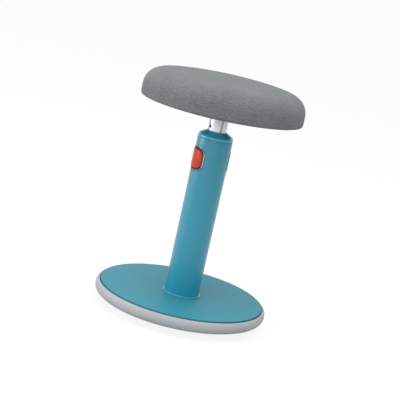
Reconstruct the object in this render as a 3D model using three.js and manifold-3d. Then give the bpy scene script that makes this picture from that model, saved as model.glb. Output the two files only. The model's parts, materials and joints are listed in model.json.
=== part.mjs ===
import * as THREE from 'three';
import { mergeVertices } from 'three/addons/utils/BufferGeometryUtils.js';
import Module from 'manifold-3d';

// Wobble stool: a weighted plate on a domed rubber foot, a column with a push button latch,
// a grooved tube that slides in it and a round cushion that swivels on top.
// Millimetres, +Z up, origin on the floor under the middle of the foot, cushion at its lowest.

// Fits that all pieces share
const gap = 0.3;
const runningGap = 0.5;
const overrun = 2;

// Foot, plate and weight
const footRadius = 185;
const footFlatRadius = 60;
const rockRadius = 444;
const rimHalfWidth = 14.8;
const rimHalfHeight = 13.85;
const rimDrop = 12.1;
const footWall = 7.8;
const footWellRadius = 24;
const footWellFloor = 6;
const plateInset = 6;
const plateThickness = 4;
const plateEdge = 1;
const plateRibInset = 35.5;
const plateRibWidth = 3.5;
const plateHubRadius = 25;
const ballastInset = 29;
const ballastThickness = 6;

// Screws from below that hold foot, weight and plate together
const baseScrewCount = 6;
const baseScrewInset = 59;
const baseScrewRadius = 2;
const baseScrewHeadRadius = 4;
const baseScrewHeadHeight = 2.5;
const baseScrewSeatDepth = 6;
const baseScrewBossRadius = 5.5;

// Bolt that pulls the column onto the plate
const columnBoltRadius = 6;
const columnBoltHeadRadius = 10;
const columnBoltHeadHeight = 7;
const columnBoltShort = 1;
const columnWasherRadius = 17;
const columnWasherThickness = 2;

// Column, its foot and its cap; heights are above the plate
const columnRadius = 37.35;
const columnWall = 3;
const columnLowWall = 4.35;
const columnTopHeight = 342.8;
const columnTubeSpace = 17.95;
const plugHeight = 10;
const bumperThickness = 4;
const bumperWidth = 20;
const collarWidth = 3.4;
const collarHeight = 2.6;
const capEdgeHeight = 1.5;
const capFillet = 8.8;
const capConeTopMargin = 2.6;
const capRise = 15;
const capLipRise = 0.8;
const capLipThickness = 3.4;
const capSkirtDepth = 5;
const capSkirtWall = 2.5;
const capShelfThickness = 7;
const upperGuideWall = 5.3;

// Height latch
const buttonAngle = THREE.MathUtils.degToRad(204.5);
const buttonDrop = 46.1;
const buttonSideInset = 14.35;
const buttonHalfHeight = 20.2;
const buttonCorner = 12;
const buttonProud = 2.7;
const buttonWall = 2.5;
const buttonTravel = 4.5;
const windowSideMargin = 1.6;
const windowEndMargin = 3.55;
const windowCorner = 14;
const surroundMargin = 3.5;
const surroundDepth = 1;
const surroundCorner = 17;
const latchCoverRise = 2.1;
const latchCoverHalfHeight = 21.8;
const latchCoverCorner = 12;
const latchCoverProud = 1.05;
const housingHeight = 80;
const pocketWall = 1.45;
const yokeHalfHeight = 8;
const yokeArmThickness = 2.2;
const yokeBarThickness = 3.5;
const yokeBarClearance = 6;
const toothHalfHeight = 2.2;
const springRadius = 3.2;
const springWireRadius = 0.35;
const springTurns = 4;
const springClearance = 0.5;

// Sliding tube
const innerTubeWall = 3.5;
const grooveCount = 4;
const grooveHalfWidth = 1.8;
const grooveDepth = 1.4;
const latchHoleRadius = 3;
const holePitch = 23.5;
const holesAboveLatch = 3;
const lowerGuideLeast = 40;
const guidePinRadius = 2;
const guidePinShort = 1;

// Swivel under the cushion
const spindleRadius = 8;
const spindlePlugLength = 19;
const spindleFlangeThickness = 3;
const spindleTopShort = 1.4;
const thrustWasherThickness = 1;
const hubRadius = 25;
const hubHeight = 9;
const hubNeckHeight = 5;
const hubFlangeWidth = 15;
const spindleWasherMargin = 7;
const spindleWasherThickness = 1.5;
const spindleNutMargin = 3;
const spindleNutHeight = 6;

// Cushion, its pan and what holds them; the rise is above the column's top
const seatBottomRise = 63.1;
const seatRadius = 172;
const seatEdgeFillet = 6;
const seatSideHeight = 17.8;
const seatTopHeight = 62.1;
const seatShoulderWidth = 70.3;
const seatCrown = 3;
const seatRoundPower = 2 / 3.187;
const seatRisePower = 2 / 2.111;
const coverThickness = 2.2;
const coverHemInset = 24;
const panInset = 6.5;
const panThickness = 10;
const panHoleMargin = 3;
const bracketClearance = 8;
const bracketCorner = 15;
const bracketThickness = 3;
const bracketScrewInset = 15;
const bracketScrewCount = 4;
const bracketScrewRadius = 3;
const bracketScrewHeadRadius = 5.5;
const bracketScrewHeadHeight = 3.5;
const screwTipShort = 1;
const underCoverWall = 2;
const underCoverRimDrop = 3.2;
const underCoverLedgeDrop = 6.7;
const underCoverFloorDrop = 9.6;
const underCoverHubDrop = 11.7;
const underCoverLedgeInset = 12;
const underCoverLedgeWidth = 18;
const underCoverFloorInset = 36;
const underCoverHubFlatRadius = 60;
const underCoverScrewCount = 4;
const underCoverScrewInset = 21;
const underCoverScrewRadius = 2;
const underCoverScrewHeadRadius = 4;
const underCoverScrewHeadHeight = 2;
const underCoverBossRadius = 5;

// Facets
const largeSides = 40;
const tubeSides = 32;
const smallSides = 8;
const arcSteps = 5;
const rimSteps = 9;
const cornerSteps = 3;

// Colours of the finishes, with roughness and metalness
const tealPlastic = { color: 0x3d8ba3, roughness: 0.42, metalness: 0 };
const greyRubber = { color: 0xb4b5b8, roughness: 0.7, metalness: 0 };
const blackPlastic = { color: 0x1b1b1d, roughness: 0.6, metalness: 0 };
const redPlastic = { color: 0xd94b3a, roughness: 0.4, metalness: 0 };
const satinAluminium = { color: 0xd9d9dc, roughness: 0.35, metalness: 1 };
const zincSteel = { color: 0x9a9ca0, roughness: 0.4, metalness: 1 };
const whiteNylon = { color: 0xe6e4dc, roughness: 0.5, metalness: 0 };
const greyFabric = { color: 0x858a8a, roughness: 0.95, metalness: 0 };
const paleFoam = { color: 0xe2dcc4, roughness: 0.95, metalness: 0 };
const birchPly = { color: 0xcdb185, roughness: 0.7, metalness: 0 };

// Radii of plate and weight, counted in from the foot's edge
const plateRadius = footRadius - plateInset;
const plateRibRadius = plateRadius - plateRibInset;
const ballastRadius = plateRadius - ballastInset;
const baseScrewCircle = plateRadius - baseScrewInset;

// Where the domed underside runs into the rounded rim
const rimCentreRadius = footRadius - rimHalfWidth;
const dome = domeMeetsRim();
const domeRise = rockRadius * (1 - Math.cos(dome.slope));
const rimCentreZ = domeRise + rimHalfHeight * Math.cos(dome.rimTurn);

// Levels above the floor, from the foot up
const plateTop = rimCentreZ + rimDrop;
const plateUnder = plateTop - plateThickness;
const boltRoom = columnWasherThickness + gap + columnBoltHeadHeight + gap;
const recessFloor = Math.max(domeHeightAt(ballastRadius) + footWall, footWellFloor + boltRoom);
const ballastBottom = recessFloor + gap;
const ballastTop = ballastBottom + ballastThickness;
const plateBossBottom = ballastTop + gap;
const baseScrewSeat = recessFloor - baseScrewSeatDepth;
const washerTop = ballastBottom - gap;
const washerBottom = washerTop - columnWasherThickness;
const columnFootZ = plateTop + gap;
const columnTopZ = plateTop + columnTopHeight;
const plugTop = columnFootZ + plugHeight;
const bumperBottom = plugTop + gap;
const bumperTop = bumperBottom + bumperThickness;
const tubeBottom = bumperTop + gap;

// Levels of the latch and of the tube's lower guide, with as many steps as there is room for
const latchZ = columnTopZ - buttonDrop;
const capSkirtBottom = columnTopZ - capSkirtDepth;
const housingTop = capSkirtBottom - gap;
const housingBottom = housingTop - housingHeight;
const ledgeZ = housingBottom - gap;
const guideRoom = housingBottom - runningGap - tubeBottom - lowerGuideLeast;
const heightSteps = Math.floor(guideRoom / holePitch);
const lowerGuideTop = housingBottom - runningGap - holePitch * heightSteps;
const guidePinZ = (tubeBottom + lowerGuideTop) / 2;

// Levels of the swivel, counted down and up from the cushion's pan
const seatBottom = columnTopZ + seatBottomRise;
const panBottom = seatBottom + coverThickness + gap;
const panTop = panBottom + panThickness;
const bracketTop = panBottom - gap;
const bracketBottom = bracketTop - bracketThickness;
const hubTop = bracketBottom - gap;
const hubBottom = hubTop - hubHeight;
const thrustTop = hubBottom - gap;
const thrustBottom = thrustTop - thrustWasherThickness;
const spindleFlangeTop = thrustBottom - gap;
const spindleFlangeBottom = spindleFlangeTop - spindleFlangeThickness;
const tubeTop = spindleFlangeBottom - gap;
const spindleWasherBottom = bracketTop + gap;
const spindleWasherTop = spindleWasherBottom + spindleWasherThickness;
const spindleNutBottom = spindleWasherTop + gap;
const spindleTop = panTop - spindleTopShort;

// Radii that follow their neighbours
const columnBore = columnRadius - columnWall;
const columnLowBore = columnRadius - columnLowWall;
const innerTubeRadius = columnRadius - columnTubeSpace;
const capConeTopRadius = innerTubeRadius + capConeTopMargin;
const housingRadius = columnBore - gap;
const pocketRadius = housingRadius - pocketWall;
const tubeClearanceRadius = innerTubeRadius + runningGap;
const guideBore = innerTubeRadius + gap;
const columnBoltHole = columnBoltRadius + gap;
const innerTubeBore = innerTubeRadius - innerTubeWall;
const swivelBore = spindleRadius + gap;
const buttonFaceRadius = columnRadius + buttonProud;
const buttonHalfWidth = columnRadius - buttonSideInset;
const windowHalfWidth = buttonHalfWidth + windowSideMargin;
const windowHalfHeight = buttonHalfHeight + windowEndMargin;
const latchCoverHalfWidth = buttonHalfWidth;
const hubFlangeRadius = hubRadius + hubFlangeWidth;
const spindleWasherRadius = spindleRadius + spindleWasherMargin;
const spindleNutRadius = spindleRadius + spindleNutMargin;
const panHoleRadius = spindleWasherRadius + panHoleMargin;

// Radii of the cushion and what hangs under it, counted in from its side
const seatFlatRadius = seatRadius - seatShoulderWidth;
const coverHemRadius = seatRadius - coverHemInset;
const panRadius = seatRadius - panInset;
const underCoverLedgeOuterRadius = coverHemRadius - underCoverLedgeInset;
const underCoverLedgeInnerRadius = underCoverLedgeOuterRadius - underCoverLedgeWidth;
const underCoverFloorRadius = coverHemRadius - underCoverFloorInset;
const underCoverScrewCircle = coverHemRadius - underCoverScrewInset;
const bracketReach = underCoverScrewCircle - underCoverBossRadius - bracketClearance;
const bracketHalfWidth = bracketCorner + (bracketReach - bracketCorner) / Math.SQRT2;
const bracketScrewOffset = bracketHalfWidth - bracketScrewInset;

// Places of the release yoke along the button's direction
const yokeBarBack = innerTubeRadius + yokeBarClearance;
const yokeBarFront = yokeBarBack + yokeBarThickness;
const yokeInner = tubeClearanceRadius;
const yokeOuter = yokeInner + yokeArmThickness;
const yokeBack = -(yokeInner + yokeBarThickness);
const yokeReach = pocketRadius - runningGap;
const toothTip = -(innerTubeRadius - grooveDepth + gap);
const toothHalfWidth = grooveHalfWidth - gap;
const buttonBack = yokeBarFront + gap;

const wasm = await Module();
wasm.setup();

// Slope at which the dome touches the rim's ellipse, and the turn round that ellipse
function domeMeetsRim() {
  const tries = 40;
  let slope = 0;
  let rimTurn = 0;
  for (let i = 0; i < tries; i += 1) {
    rimTurn = Math.atan((Math.tan(slope) * rimHalfWidth) / rimHalfHeight);
    const reach = rimCentreRadius + rimHalfWidth * Math.sin(rimTurn) - footFlatRadius;
    slope = Math.asin(reach / rockRadius);
  }
  return { slope, rimTurn };
}

function domeHeightAt(radius) {
  const slope = Math.asin(Math.max(radius - footFlatRadius, 0) / rockRadius);
  return rockRadius * (1 - Math.cos(slope));
}

// A geometry with shared corners and no empty triangles
function weld(geometry) {
  const bare = geometry.clone();
  bare.deleteAttribute('normal');
  bare.deleteAttribute('uv');
  const welded = mergeVertices(bare);
  const corners = welded.index.array;
  const kept = [];
  for (let i = 0; i < corners.length; i += 3) {
    const [a, b, c] = [corners[i], corners[i + 1], corners[i + 2]];
    if (a !== b && b !== c && c !== a) {
      kept.push(a, b, c);
    }
  }
  welded.setIndex(kept);
  return welded;
}

function toSolid(geometry) {
  const welded = weld(geometry);
  return new wasm.Manifold(new wasm.Mesh({
    numProp: 3,
    vertProperties: Float32Array.from(welded.attributes.position.array),
    triVerts: Uint32Array.from(welded.index.array),
  }));
}

function toGeometry(solid) {
  const made = solid.getMesh();
  const geometry = new THREE.BufferGeometry();
  geometry.setAttribute('position', new THREE.BufferAttribute(made.vertProperties, 3));
  geometry.setIndex(new THREE.BufferAttribute(made.triVerts, 1));
  geometry.computeVertexNormals();
  return geometry;
}

function cut(solid, ...tools) {
  return tools.reduce((left, tool) => left.subtract(tool), solid);
}

function join(solid, ...others) {
  return others.reduce((whole, other) => whole.add(other), solid);
}

// Turned shape from [radius, height] points that run anticlockwise
function turned(points, sides) {
  const profile = points.map(([r, z]) => new THREE.Vector2(r, z));
  return new THREE.LatheGeometry(profile, sides).rotateX(Math.PI / 2);
}

function turnedRing(points, sides) {
  return turned([...points, points[0]], sides);
}

function disc(radius, low, high, sides) {
  return turned([[0, low], [radius, low], [radius, high], [0, high]], sides);
}

function ring(inner, outer, low, high, sides) {
  return turnedRing([[inner, low], [outer, low], [outer, high], [inner, high]], sides);
}

function at(geometry, x, y) {
  return geometry.translate(x, y, 0);
}

// Points of an arc or ellipse about a centre, from one turn to another
function arc(centreR, centreZ, halfWidth, halfHeight, from, to, steps) {
  const points = [];
  for (let i = 0; i <= steps; i += 1) {
    const turn = from + ((to - from) * i) / steps;
    points.push([centreR + halfWidth * Math.cos(turn), centreZ + halfHeight * Math.sin(turn)]);
  }
  return points;
}

function roundedRectangle(halfWidth, halfHeight, corner) {
  const x = halfWidth - corner;
  const y = halfHeight - corner;
  const centres = [[x, y], [-x, y], [-x, -y], [x, -y]];
  const points = centres.flatMap(([cx, cy], i) => {
    const start = (i * Math.PI) / 2;
    return arc(cx, cy, corner, corner, start, start + Math.PI / 2, cornerSteps);
  });
  return new THREE.Shape(points.map(([px, py]) => new THREE.Vector2(px, py)));
}

function slab(shape, low, high) {
  const options = { depth: high - low, bevelEnabled: false, steps: 1 };
  return new THREE.ExtrudeGeometry(shape, options).translate(0, 0, low);
}

// A shape drawn as (sideways, up) at the latch and pushed out along the button's direction
function pushedOut(shape, near, far) {
  const turn = new THREE.Matrix4().makeBasis(
    new THREE.Vector3(0, 1, 0),
    new THREE.Vector3(0, 0, 1),
    new THREE.Vector3(1, 0, 0),
  );
  return slab(shape, near, far).applyMatrix4(turn).translate(0, 0, latchZ);
}

function block(x0, x1, y0, y1, z0, z1) {
  const box = new THREE.BoxGeometry(x1 - x0, y1 - y0, z1 - z0);
  return box.translate((x0 + x1) / 2, (y0 + y1) / 2, (z0 + z1) / 2);
}

// A round bar across the column at a height, along X or turned to lie along Y
function crossBar(radius, halfLength, z, alongY) {
  const bar = new THREE.CylinderGeometry(radius, radius, halfLength * 2, smallSides);
  if (!alongY) {
    bar.rotateZ(Math.PI / 2);
  }
  return bar.translate(0, 0, z);
}

// Places evenly spread on a circle, the first one turned by start
function onCircle(radius, count, start) {
  return Array.from({ length: count }, (_, i) => {
    const turn = start + (i * 2 * Math.PI) / count;
    return [radius * Math.cos(turn), radius * Math.sin(turn)];
  });
}

function baseScrewPlaces() {
  return onCircle(baseScrewCircle, baseScrewCount, 0);
}

function bracketScrewPlaces() {
  return onCircle(bracketScrewOffset * Math.SQRT2, bracketScrewCount, Math.PI / 4);
}

function underCoverScrewPlaces() {
  return onCircle(underCoverScrewCircle, underCoverScrewCount, Math.PI / 4);
}

// Screw with its head below and its tip above
function screw(radius, headRadius, headHeight, seat, tip) {
  const profile = [
    [0, seat - headHeight],
    [headRadius - headHeight / 2, seat - headHeight],
    [headRadius, seat],
    [radius, seat],
    [radius, tip - radius / 2],
    [radius / 2, tip],
    [0, tip],
  ];
  return turned(profile, smallSides);
}

// Foot: flat middle, domed underside, rounded rim, and a recess for plate and weight
function rubberFoot() {
  const rimTop = Math.acos((plateRadius + gap - rimCentreRadius) / rimHalfWidth);
  const rimStart = dome.rimTurn - Math.PI / 2;
  const underside = arc(footFlatRadius, rockRadius, rockRadius, rockRadius,
    -Math.PI / 2, dome.slope - Math.PI / 2, arcSteps);
  const rim = arc(rimCentreRadius, rimCentreZ, rimHalfWidth, rimHalfHeight, rimStart, rimTop, rimSteps);
  const profile = [
    [0, 0],
    ...underside,
    ...rim.slice(1),
    [plateRadius + gap, plateUnder - gap],
    [ballastRadius + gap, plateUnder - gap],
    [ballastRadius + gap, recessFloor],
    [footWellRadius, recessFloor],
    [footWellRadius, footWellFloor],
    [0, footWellFloor],
  ];
  const holes = baseScrewPlaces().flatMap(([x, y]) => [
    toSolid(at(disc(baseScrewHeadRadius + gap, -overrun, baseScrewSeat, smallSides), x, y)),
    toSolid(at(disc(baseScrewRadius + gap, 0, recessFloor + overrun, smallSides), x, y)),
  ]);
  return cut(toSolid(turned(profile, largeSides)), ...holes);
}

function ballastDisc() {
  const body = toSolid(ring(columnBoltHole, ballastRadius, ballastBottom, ballastTop, largeSides));
  const low = ballastBottom - overrun;
  const high = ballastTop + overrun;
  const holes = baseScrewPlaces().map(([x, y]) =>
    toSolid(at(disc(baseScrewRadius + gap, low, high, smallSides), x, y)));
  return cut(body, ...holes);
}

// Plate with a rib, a middle hub and screw bosses that stand on the weight
function basePlate() {
  const profile = [
    [columnBoltHole, plateBossBottom],
    [plateHubRadius, plateBossBottom],
    [plateHubRadius, plateUnder],
    [plateRibRadius - plateRibWidth, plateUnder],
    [plateRibRadius - plateRibWidth, plateBossBottom],
    [plateRibRadius, plateBossBottom],
    [plateRibRadius, plateUnder],
    [plateRadius, plateUnder],
    [plateRadius, plateTop - plateEdge],
    [plateRadius - plateEdge, plateTop],
    [columnBoltHole, plateTop],
  ];
  const bossTop = plateUnder + plateThickness / 2;
  const bosses = baseScrewPlaces().map(([x, y]) =>
    toSolid(at(disc(baseScrewBossRadius, plateBossBottom, bossTop, smallSides), x, y)));
  const holes = baseScrewPlaces().map(([x, y]) =>
    toSolid(at(disc(baseScrewRadius + gap, plateBossBottom - overrun, plateUnder, smallSides), x, y)));
  return cut(join(toSolid(turnedRing(profile, largeSides)), ...bosses), ...holes);
}

function baseScrew([x, y]) {
  const seat = baseScrewSeat - gap;
  const body = screw(baseScrewRadius, baseScrewHeadRadius, baseScrewHeadHeight, seat, plateUnder - gap);
  return at(body, x, y);
}

function columnBolt() {
  return screw(columnBoltRadius, columnBoltHeadRadius, columnBoltHeadHeight,
    washerBottom - gap, plugTop - columnBoltShort);
}

// Column tube with a stepped bore, a window in a shallow surround for the button and one for the cover
function outerColumn() {
  const profile = [
    [columnLowBore, columnFootZ],
    [columnRadius, columnFootZ],
    [columnRadius, columnTopZ],
    [columnBore, columnTopZ],
    [columnBore, ledgeZ],
    [columnLowBore, ledgeZ],
  ];
  const out = columnRadius + overrun;
  const window = pushedOut(roundedRectangle(windowHalfWidth, windowHalfHeight, windowCorner), 0, out);
  const surround = pushedOut(roundedRectangle(
    windowHalfWidth + surroundMargin, windowHalfHeight + surroundMargin, surroundCorner), 0, out);
  const kept = disc(columnRadius - surroundDepth, housingBottom, housingTop, tubeSides);
  const shallow = cut(toSolid(surround), toSolid(kept));
  return cut(toSolid(turnedRing(profile, tubeSides)), toSolid(window), shallow, latchCoverBlock(gap));
}

// Outline of the latch cover, let out by a margin and run through the column's far side
function latchCoverBlock(margin) {
  const outline = roundedRectangle(
    latchCoverHalfWidth + margin, latchCoverHalfHeight + margin, latchCoverCorner + margin);
  return toSolid(pushedOut(outline, -(columnRadius + overrun), 0).translate(0, 0, latchCoverRise));
}

// Cover opposite the button, a little proud of the column
function latchCover() {
  const outer = columnRadius + latchCoverProud;
  const shell = ring(columnBore, outer, housingBottom, housingTop, tubeSides);
  return latchCoverBlock(0).intersect(toSolid(shell));
}

function footCollar() {
  const inner = columnRadius + gap;
  const outer = columnRadius + collarWidth;
  const top = columnFootZ + collarHeight;
  const bevel = collarHeight / 2;
  const profile = [
    [inner, columnFootZ],
    [outer, columnFootZ],
    [outer, top - bevel],
    [outer - bevel, top],
    [inner, top],
  ];
  return turnedRing(profile, tubeSides);
}

// Cap: skirt inside the column, rounded shoulder, cone and a lip round the sliding tube
function columnCap() {
  const low = columnTopZ + gap;
  const edge = low + capEdgeHeight;
  const coneTop = low + capRise;
  const lipTop = coneTop + capLipRise;
  const centreR = columnRadius - capFillet;
  const away = Math.hypot(capConeTopRadius - centreR, coneTop - edge);
  const towards = Math.atan2(coneTop - edge, capConeTopRadius - centreR);
  const tangent = towards - Math.acos(capFillet / away);
  const guideRadius = tubeClearanceRadius + upperGuideWall;
  const lipBottom = lipTop - capLipThickness;
  const profile = [
    [housingRadius - capSkirtWall, capSkirtBottom],
    [housingRadius, capSkirtBottom],
    [housingRadius, low],
    [columnRadius, low],
    ...arc(centreR, edge, capFillet, capFillet, 0, tangent, arcSteps),
    [capConeTopRadius, coneTop],
    [tubeClearanceRadius + capLipRise, lipTop],
    [tubeClearanceRadius, lipTop - capLipRise],
    [tubeClearanceRadius, lipBottom],
    [guideRadius, lipBottom],
    [guideRadius, lipBottom - capShelfThickness],
    [housingRadius - capSkirtWall, low],
  ];
  return turnedRing(profile, tubeSides);
}

function upperGuide() {
  const top = columnTopZ + gap + capRise + capLipRise - capLipThickness - gap;
  const outer = tubeClearanceRadius + upperGuideWall - gap;
  return ring(guideBore, outer, housingTop + gap, top, tubeSides);
}

// Housing that fills the column round the tube, with a pocket for the yoke
function latchHousing() {
  const body = toSolid(ring(tubeClearanceRadius, housingRadius, housingBottom, housingTop, tubeSides));
  const side = yokeOuter + runningGap;
  const halfHeight = yokeHalfHeight + runningGap;
  const low = latchZ - halfHeight;
  const high = latchZ + halfHeight;
  const round = toSolid(disc(pocketRadius, low, high, tubeSides));
  const through = toSolid(block(-columnRadius, columnRadius, -side, side, low, high)).intersect(round);
  const front = toSolid(block(0, columnRadius, -side, side, low, high));
  const cavityShape = roundedRectangle(
    buttonHalfWidth + runningGap, buttonHalfHeight + runningGap, buttonCorner);
  const cavityBack = yokeBarBack - buttonTravel - runningGap;
  const cavity = toSolid(pushedOut(cavityShape, cavityBack, columnRadius));
  return cut(body, through, front, cavity);
}

// Black frame in the window, just under the surround
function buttonBezel() {
  const out = columnRadius + overrun;
  const outer = pushedOut(
    roundedRectangle(windowHalfWidth - gap, windowHalfHeight - gap, windowCorner), 0, out);
  const inner = pushedOut(roundedRectangle(
    buttonHalfWidth + runningGap, buttonHalfHeight + runningGap, buttonCorner), -overrun, out + overrun);
  const shellOuter = columnRadius - surroundDepth - gap;
  const shell = toSolid(ring(columnBore, shellOuter, housingBottom, housingTop, tubeSides));
  return cut(toSolid(outer).intersect(shell), toSolid(inner));
}

// Hollow push button whose face follows the column a little proud of it
function releaseButton() {
  const face = toSolid(disc(buttonFaceRadius, housingBottom, housingTop, tubeSides));
  const hollowFace = toSolid(disc(buttonFaceRadius - buttonWall, housingBottom, housingTop, tubeSides));
  const outline = roundedRectangle(buttonHalfWidth, buttonHalfHeight, buttonCorner);
  const hollowOutline = roundedRectangle(
    buttonHalfWidth - buttonWall, buttonHalfHeight - buttonWall, buttonCorner - buttonWall);
  const far = buttonFaceRadius + overrun;
  const body = toSolid(pushedOut(outline, buttonBack, far)).intersect(face);
  const hollow = toSolid(pushedOut(hollowOutline, buttonBack - overrun, far)).intersect(hollowFace);
  return cut(body, hollow);
}

// Frame round the tube, its opening round at the back: the bar behind the button, two arms, and the tooth
function releaseYoke() {
  const backEdge = (y) => buttonTravel - Math.sqrt(yokeReach ** 2 - y ** 2);
  const cornerY = Math.sqrt(yokeReach ** 2 - (buttonTravel - yokeBack) ** 2);
  const barSide = buttonHalfWidth - runningGap;
  const outline = [
    [yokeBarFront, -barSide],
    [yokeBarFront, barSide],
    [yokeBarBack, barSide],
    [yokeBarBack, yokeOuter],
    [backEdge(yokeOuter), yokeOuter],
    [yokeBack, cornerY],
    [yokeBack, -cornerY],
    [backEdge(yokeOuter), -yokeOuter],
    [yokeBarBack, -yokeOuter],
    [yokeBarBack, -barSide],
  ];
  const shape = new THREE.Shape(outline.map(([x, y]) => new THREE.Vector2(x, y)));
  const low = latchZ - yokeHalfHeight;
  const high = latchZ + yokeHalfHeight;
  const opening = join(
    toSolid(disc(yokeInner, low - overrun, high + overrun, tubeSides)),
    toSolid(block(0, yokeBarBack, -yokeInner, yokeInner, low - overrun, high + overrun)),
  );
  const tooth = block(yokeBack + yokeArmThickness, toothTip,
    -toothHalfWidth, toothHalfWidth, latchZ - toothHalfHeight, latchZ + toothHalfHeight);
  return join(cut(toSolid(slab(shape, low, high)), opening), toSolid(tooth));
}

class SpringLine extends THREE.Curve {
  constructor(start, length, radius, turns) {
    super();
    Object.assign(this, { start, length, radius, turns });
  }

  getPoint(t, target = new THREE.Vector3()) {
    const turn = t * this.turns * 2 * Math.PI;
    return target.set(
      this.start + t * this.length,
      this.radius * Math.cos(turn),
      latchZ + this.radius * Math.sin(turn),
    );
  }
}

// Coil between the yoke's back and the pocket's wall
function returnSpring() {
  const near = yokeBack - springClearance - springWireRadius;
  const wall = Math.sqrt(pocketRadius ** 2 - (springRadius + springWireRadius) ** 2);
  const far = -(wall - springClearance - springWireRadius);
  const line = new SpringLine(near, far - near, springRadius, springTurns);
  const wireSides = 5;
  const curlSteps = 8;
  const section = onCircle(springWireRadius, wireSides, 0).map(([x, y]) => new THREE.Vector2(x, y));
  const options = { steps: springTurns * curlSteps, bevelEnabled: false, extrudePath: line };
  return new THREE.ExtrudeGeometry(new THREE.Shape(section), options);
}

// Drawn tube with grooves down its outside and a row of latch holes through two of them
function innerTube() {
  const body = toSolid(ring(innerTubeBore, innerTubeRadius, tubeBottom, tubeTop, tubeSides));
  const grooves = Array.from({ length: grooveCount }, (_, i) => {
    const tool = block(innerTubeRadius - grooveDepth, innerTubeRadius + overrun,
      -grooveHalfWidth, grooveHalfWidth, tubeBottom - overrun, tubeTop + overrun);
    return toSolid(tool.rotateZ((i * 2 * Math.PI) / grooveCount));
  });
  const holes = Array.from({ length: heightSteps + holesAboveLatch + 1 }, (_, i) => {
    const z = latchZ + (holesAboveLatch - i) * holePitch;
    return toSolid(crossBar(latchHoleRadius, innerTubeRadius + overrun, z, false));
  });
  const pinHole = toSolid(crossBar(guidePinRadius + gap, innerTubeRadius + overrun, guidePinZ, true));
  return cut(body, ...grooves, ...holes, pinHole);
}

function lowerGuide() {
  const body = toSolid(ring(guideBore, columnLowBore - gap, tubeBottom, lowerGuideTop, tubeSides));
  const pinHole = toSolid(crossBar(guidePinRadius + gap, columnRadius, guidePinZ, true));
  return cut(body, pinHole);
}

function guidePin() {
  return crossBar(guidePinRadius, columnLowBore - gap - guidePinShort, guidePinZ, true);
}

function swivelSpindle() {
  const profile = [
    [0, tubeTop - spindlePlugLength],
    [innerTubeBore - gap, tubeTop - spindlePlugLength],
    [innerTubeBore - gap, spindleFlangeBottom],
    [innerTubeRadius - gap, spindleFlangeBottom],
    [innerTubeRadius - gap, spindleFlangeTop],
    [spindleRadius, spindleFlangeTop],
    [spindleRadius, spindleTop],
    [0, spindleTop],
  ];
  return turned(profile, tubeSides);
}

function spindleNut() {
  const hexagonSides = 6;
  const top = spindleNutBottom + spindleNutHeight;
  const body = toSolid(disc(spindleNutRadius, spindleNutBottom, top, hexagonSides));
  return cut(body, toSolid(disc(swivelBore, spindleNutBottom - overrun, top + overrun, tubeSides)));
}

function swivelHub() {
  const profile = [
    [swivelBore, hubBottom],
    [hubRadius, hubBottom],
    [hubRadius, hubBottom + hubNeckHeight],
    [hubFlangeRadius, hubTop],
    [swivelBore, hubTop],
  ];
  return turnedRing(profile, tubeSides);
}

function seatBracket() {
  const outline = roundedRectangle(bracketHalfWidth, bracketHalfWidth, bracketCorner);
  const low = bracketBottom - overrun;
  const high = bracketTop + overrun;
  const holes = bracketScrewPlaces().map(([x, y]) =>
    toSolid(at(disc(bracketScrewRadius + gap, low, high, smallSides), x, y)));
  const middle = toSolid(disc(swivelBore, low, high, tubeSides));
  return cut(toSolid(slab(outline, bracketBottom, bracketTop)), middle, ...holes);
}

function bracketScrew([x, y]) {
  return at(screw(bracketScrewRadius, bracketScrewHeadRadius, bracketScrewHeadHeight,
    bracketBottom - gap, panTop - screwTipShort), x, y);
}

function seatPan() {
  const body = toSolid(ring(panHoleRadius, panRadius, panBottom, panTop, largeSides));
  const high = panTop + overrun;
  const low = panBottom - overrun;
  const bracketHoles = bracketScrewPlaces().map(([x, y]) =>
    toSolid(at(disc(bracketScrewRadius + gap, low, high, smallSides), x, y)));
  const coverHoles = underCoverScrewPlaces().map(([x, y]) =>
    toSolid(at(disc(underCoverScrewRadius + gap, low, panTop - screwTipShort, smallSides), x, y)));
  return cut(body, ...bracketHoles, ...coverHoles);
}

// Side, shoulder and crown of the cushion, drawn in by an inset, from the side's top inwards
function cushionTop(inset, steps, crownSteps) {
  const sideTop = seatBottom + seatSideHeight;
  const width = seatRadius - inset - seatFlatRadius;
  const rise = seatTopHeight - seatSideHeight - inset;
  const points = [];
  for (let i = 0; i <= steps; i += 1) {
    const turn = (Math.PI / 2) * (i / steps);
    points.push([
      seatFlatRadius + width * Math.max(Math.cos(turn), 0) ** seatRoundPower,
      sideTop + rise * Math.sin(turn) ** seatRisePower,
    ]);
  }
  for (let i = 1; i <= crownSteps; i += 1) {
    const share = i / crownSteps;
    points.push([
      i === crownSteps ? 0 : seatFlatRadius * (1 - share),
      sideTop + rise + seatCrown * Math.sin((share * Math.PI) / 2),
    ]);
  }
  return points;
}

// Stretched cover: hem under the pan, tucked lower edge, upright side, soft shoulder, crown
function seatCover() {
  const innerFillet = seatEdgeFillet - coverThickness;
  const filletR = seatRadius - seatEdgeFillet;
  const filletZ = seatBottom + seatEdgeFillet;
  const outside = arc(filletR, filletZ, seatEdgeFillet, seatEdgeFillet, -Math.PI / 2, 0, cornerSteps);
  const inside = arc(filletR, filletZ, innerFillet, innerFillet, 0, -Math.PI / 2, cornerSteps);
  const profile = [
    ...cushionTop(coverThickness, arcSteps, 1).reverse(),
    ...inside,
    [coverHemRadius, seatBottom + coverThickness],
    [coverHemRadius, seatBottom],
    ...outside,
    ...cushionTop(0, arcSteps + 2, 2),
  ];
  return turned(profile, largeSides);
}

// Foam block on the pan, just inside the cover
function seatFoam() {
  const low = panTop + gap;
  const top = cushionTop(coverThickness + gap, arcSteps, 1);
  const widest = top[0][0];
  const profile = [
    [0, low],
    [widest - gap, low],
    ...top,
  ];
  return turned(profile, largeSides);
}

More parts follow.
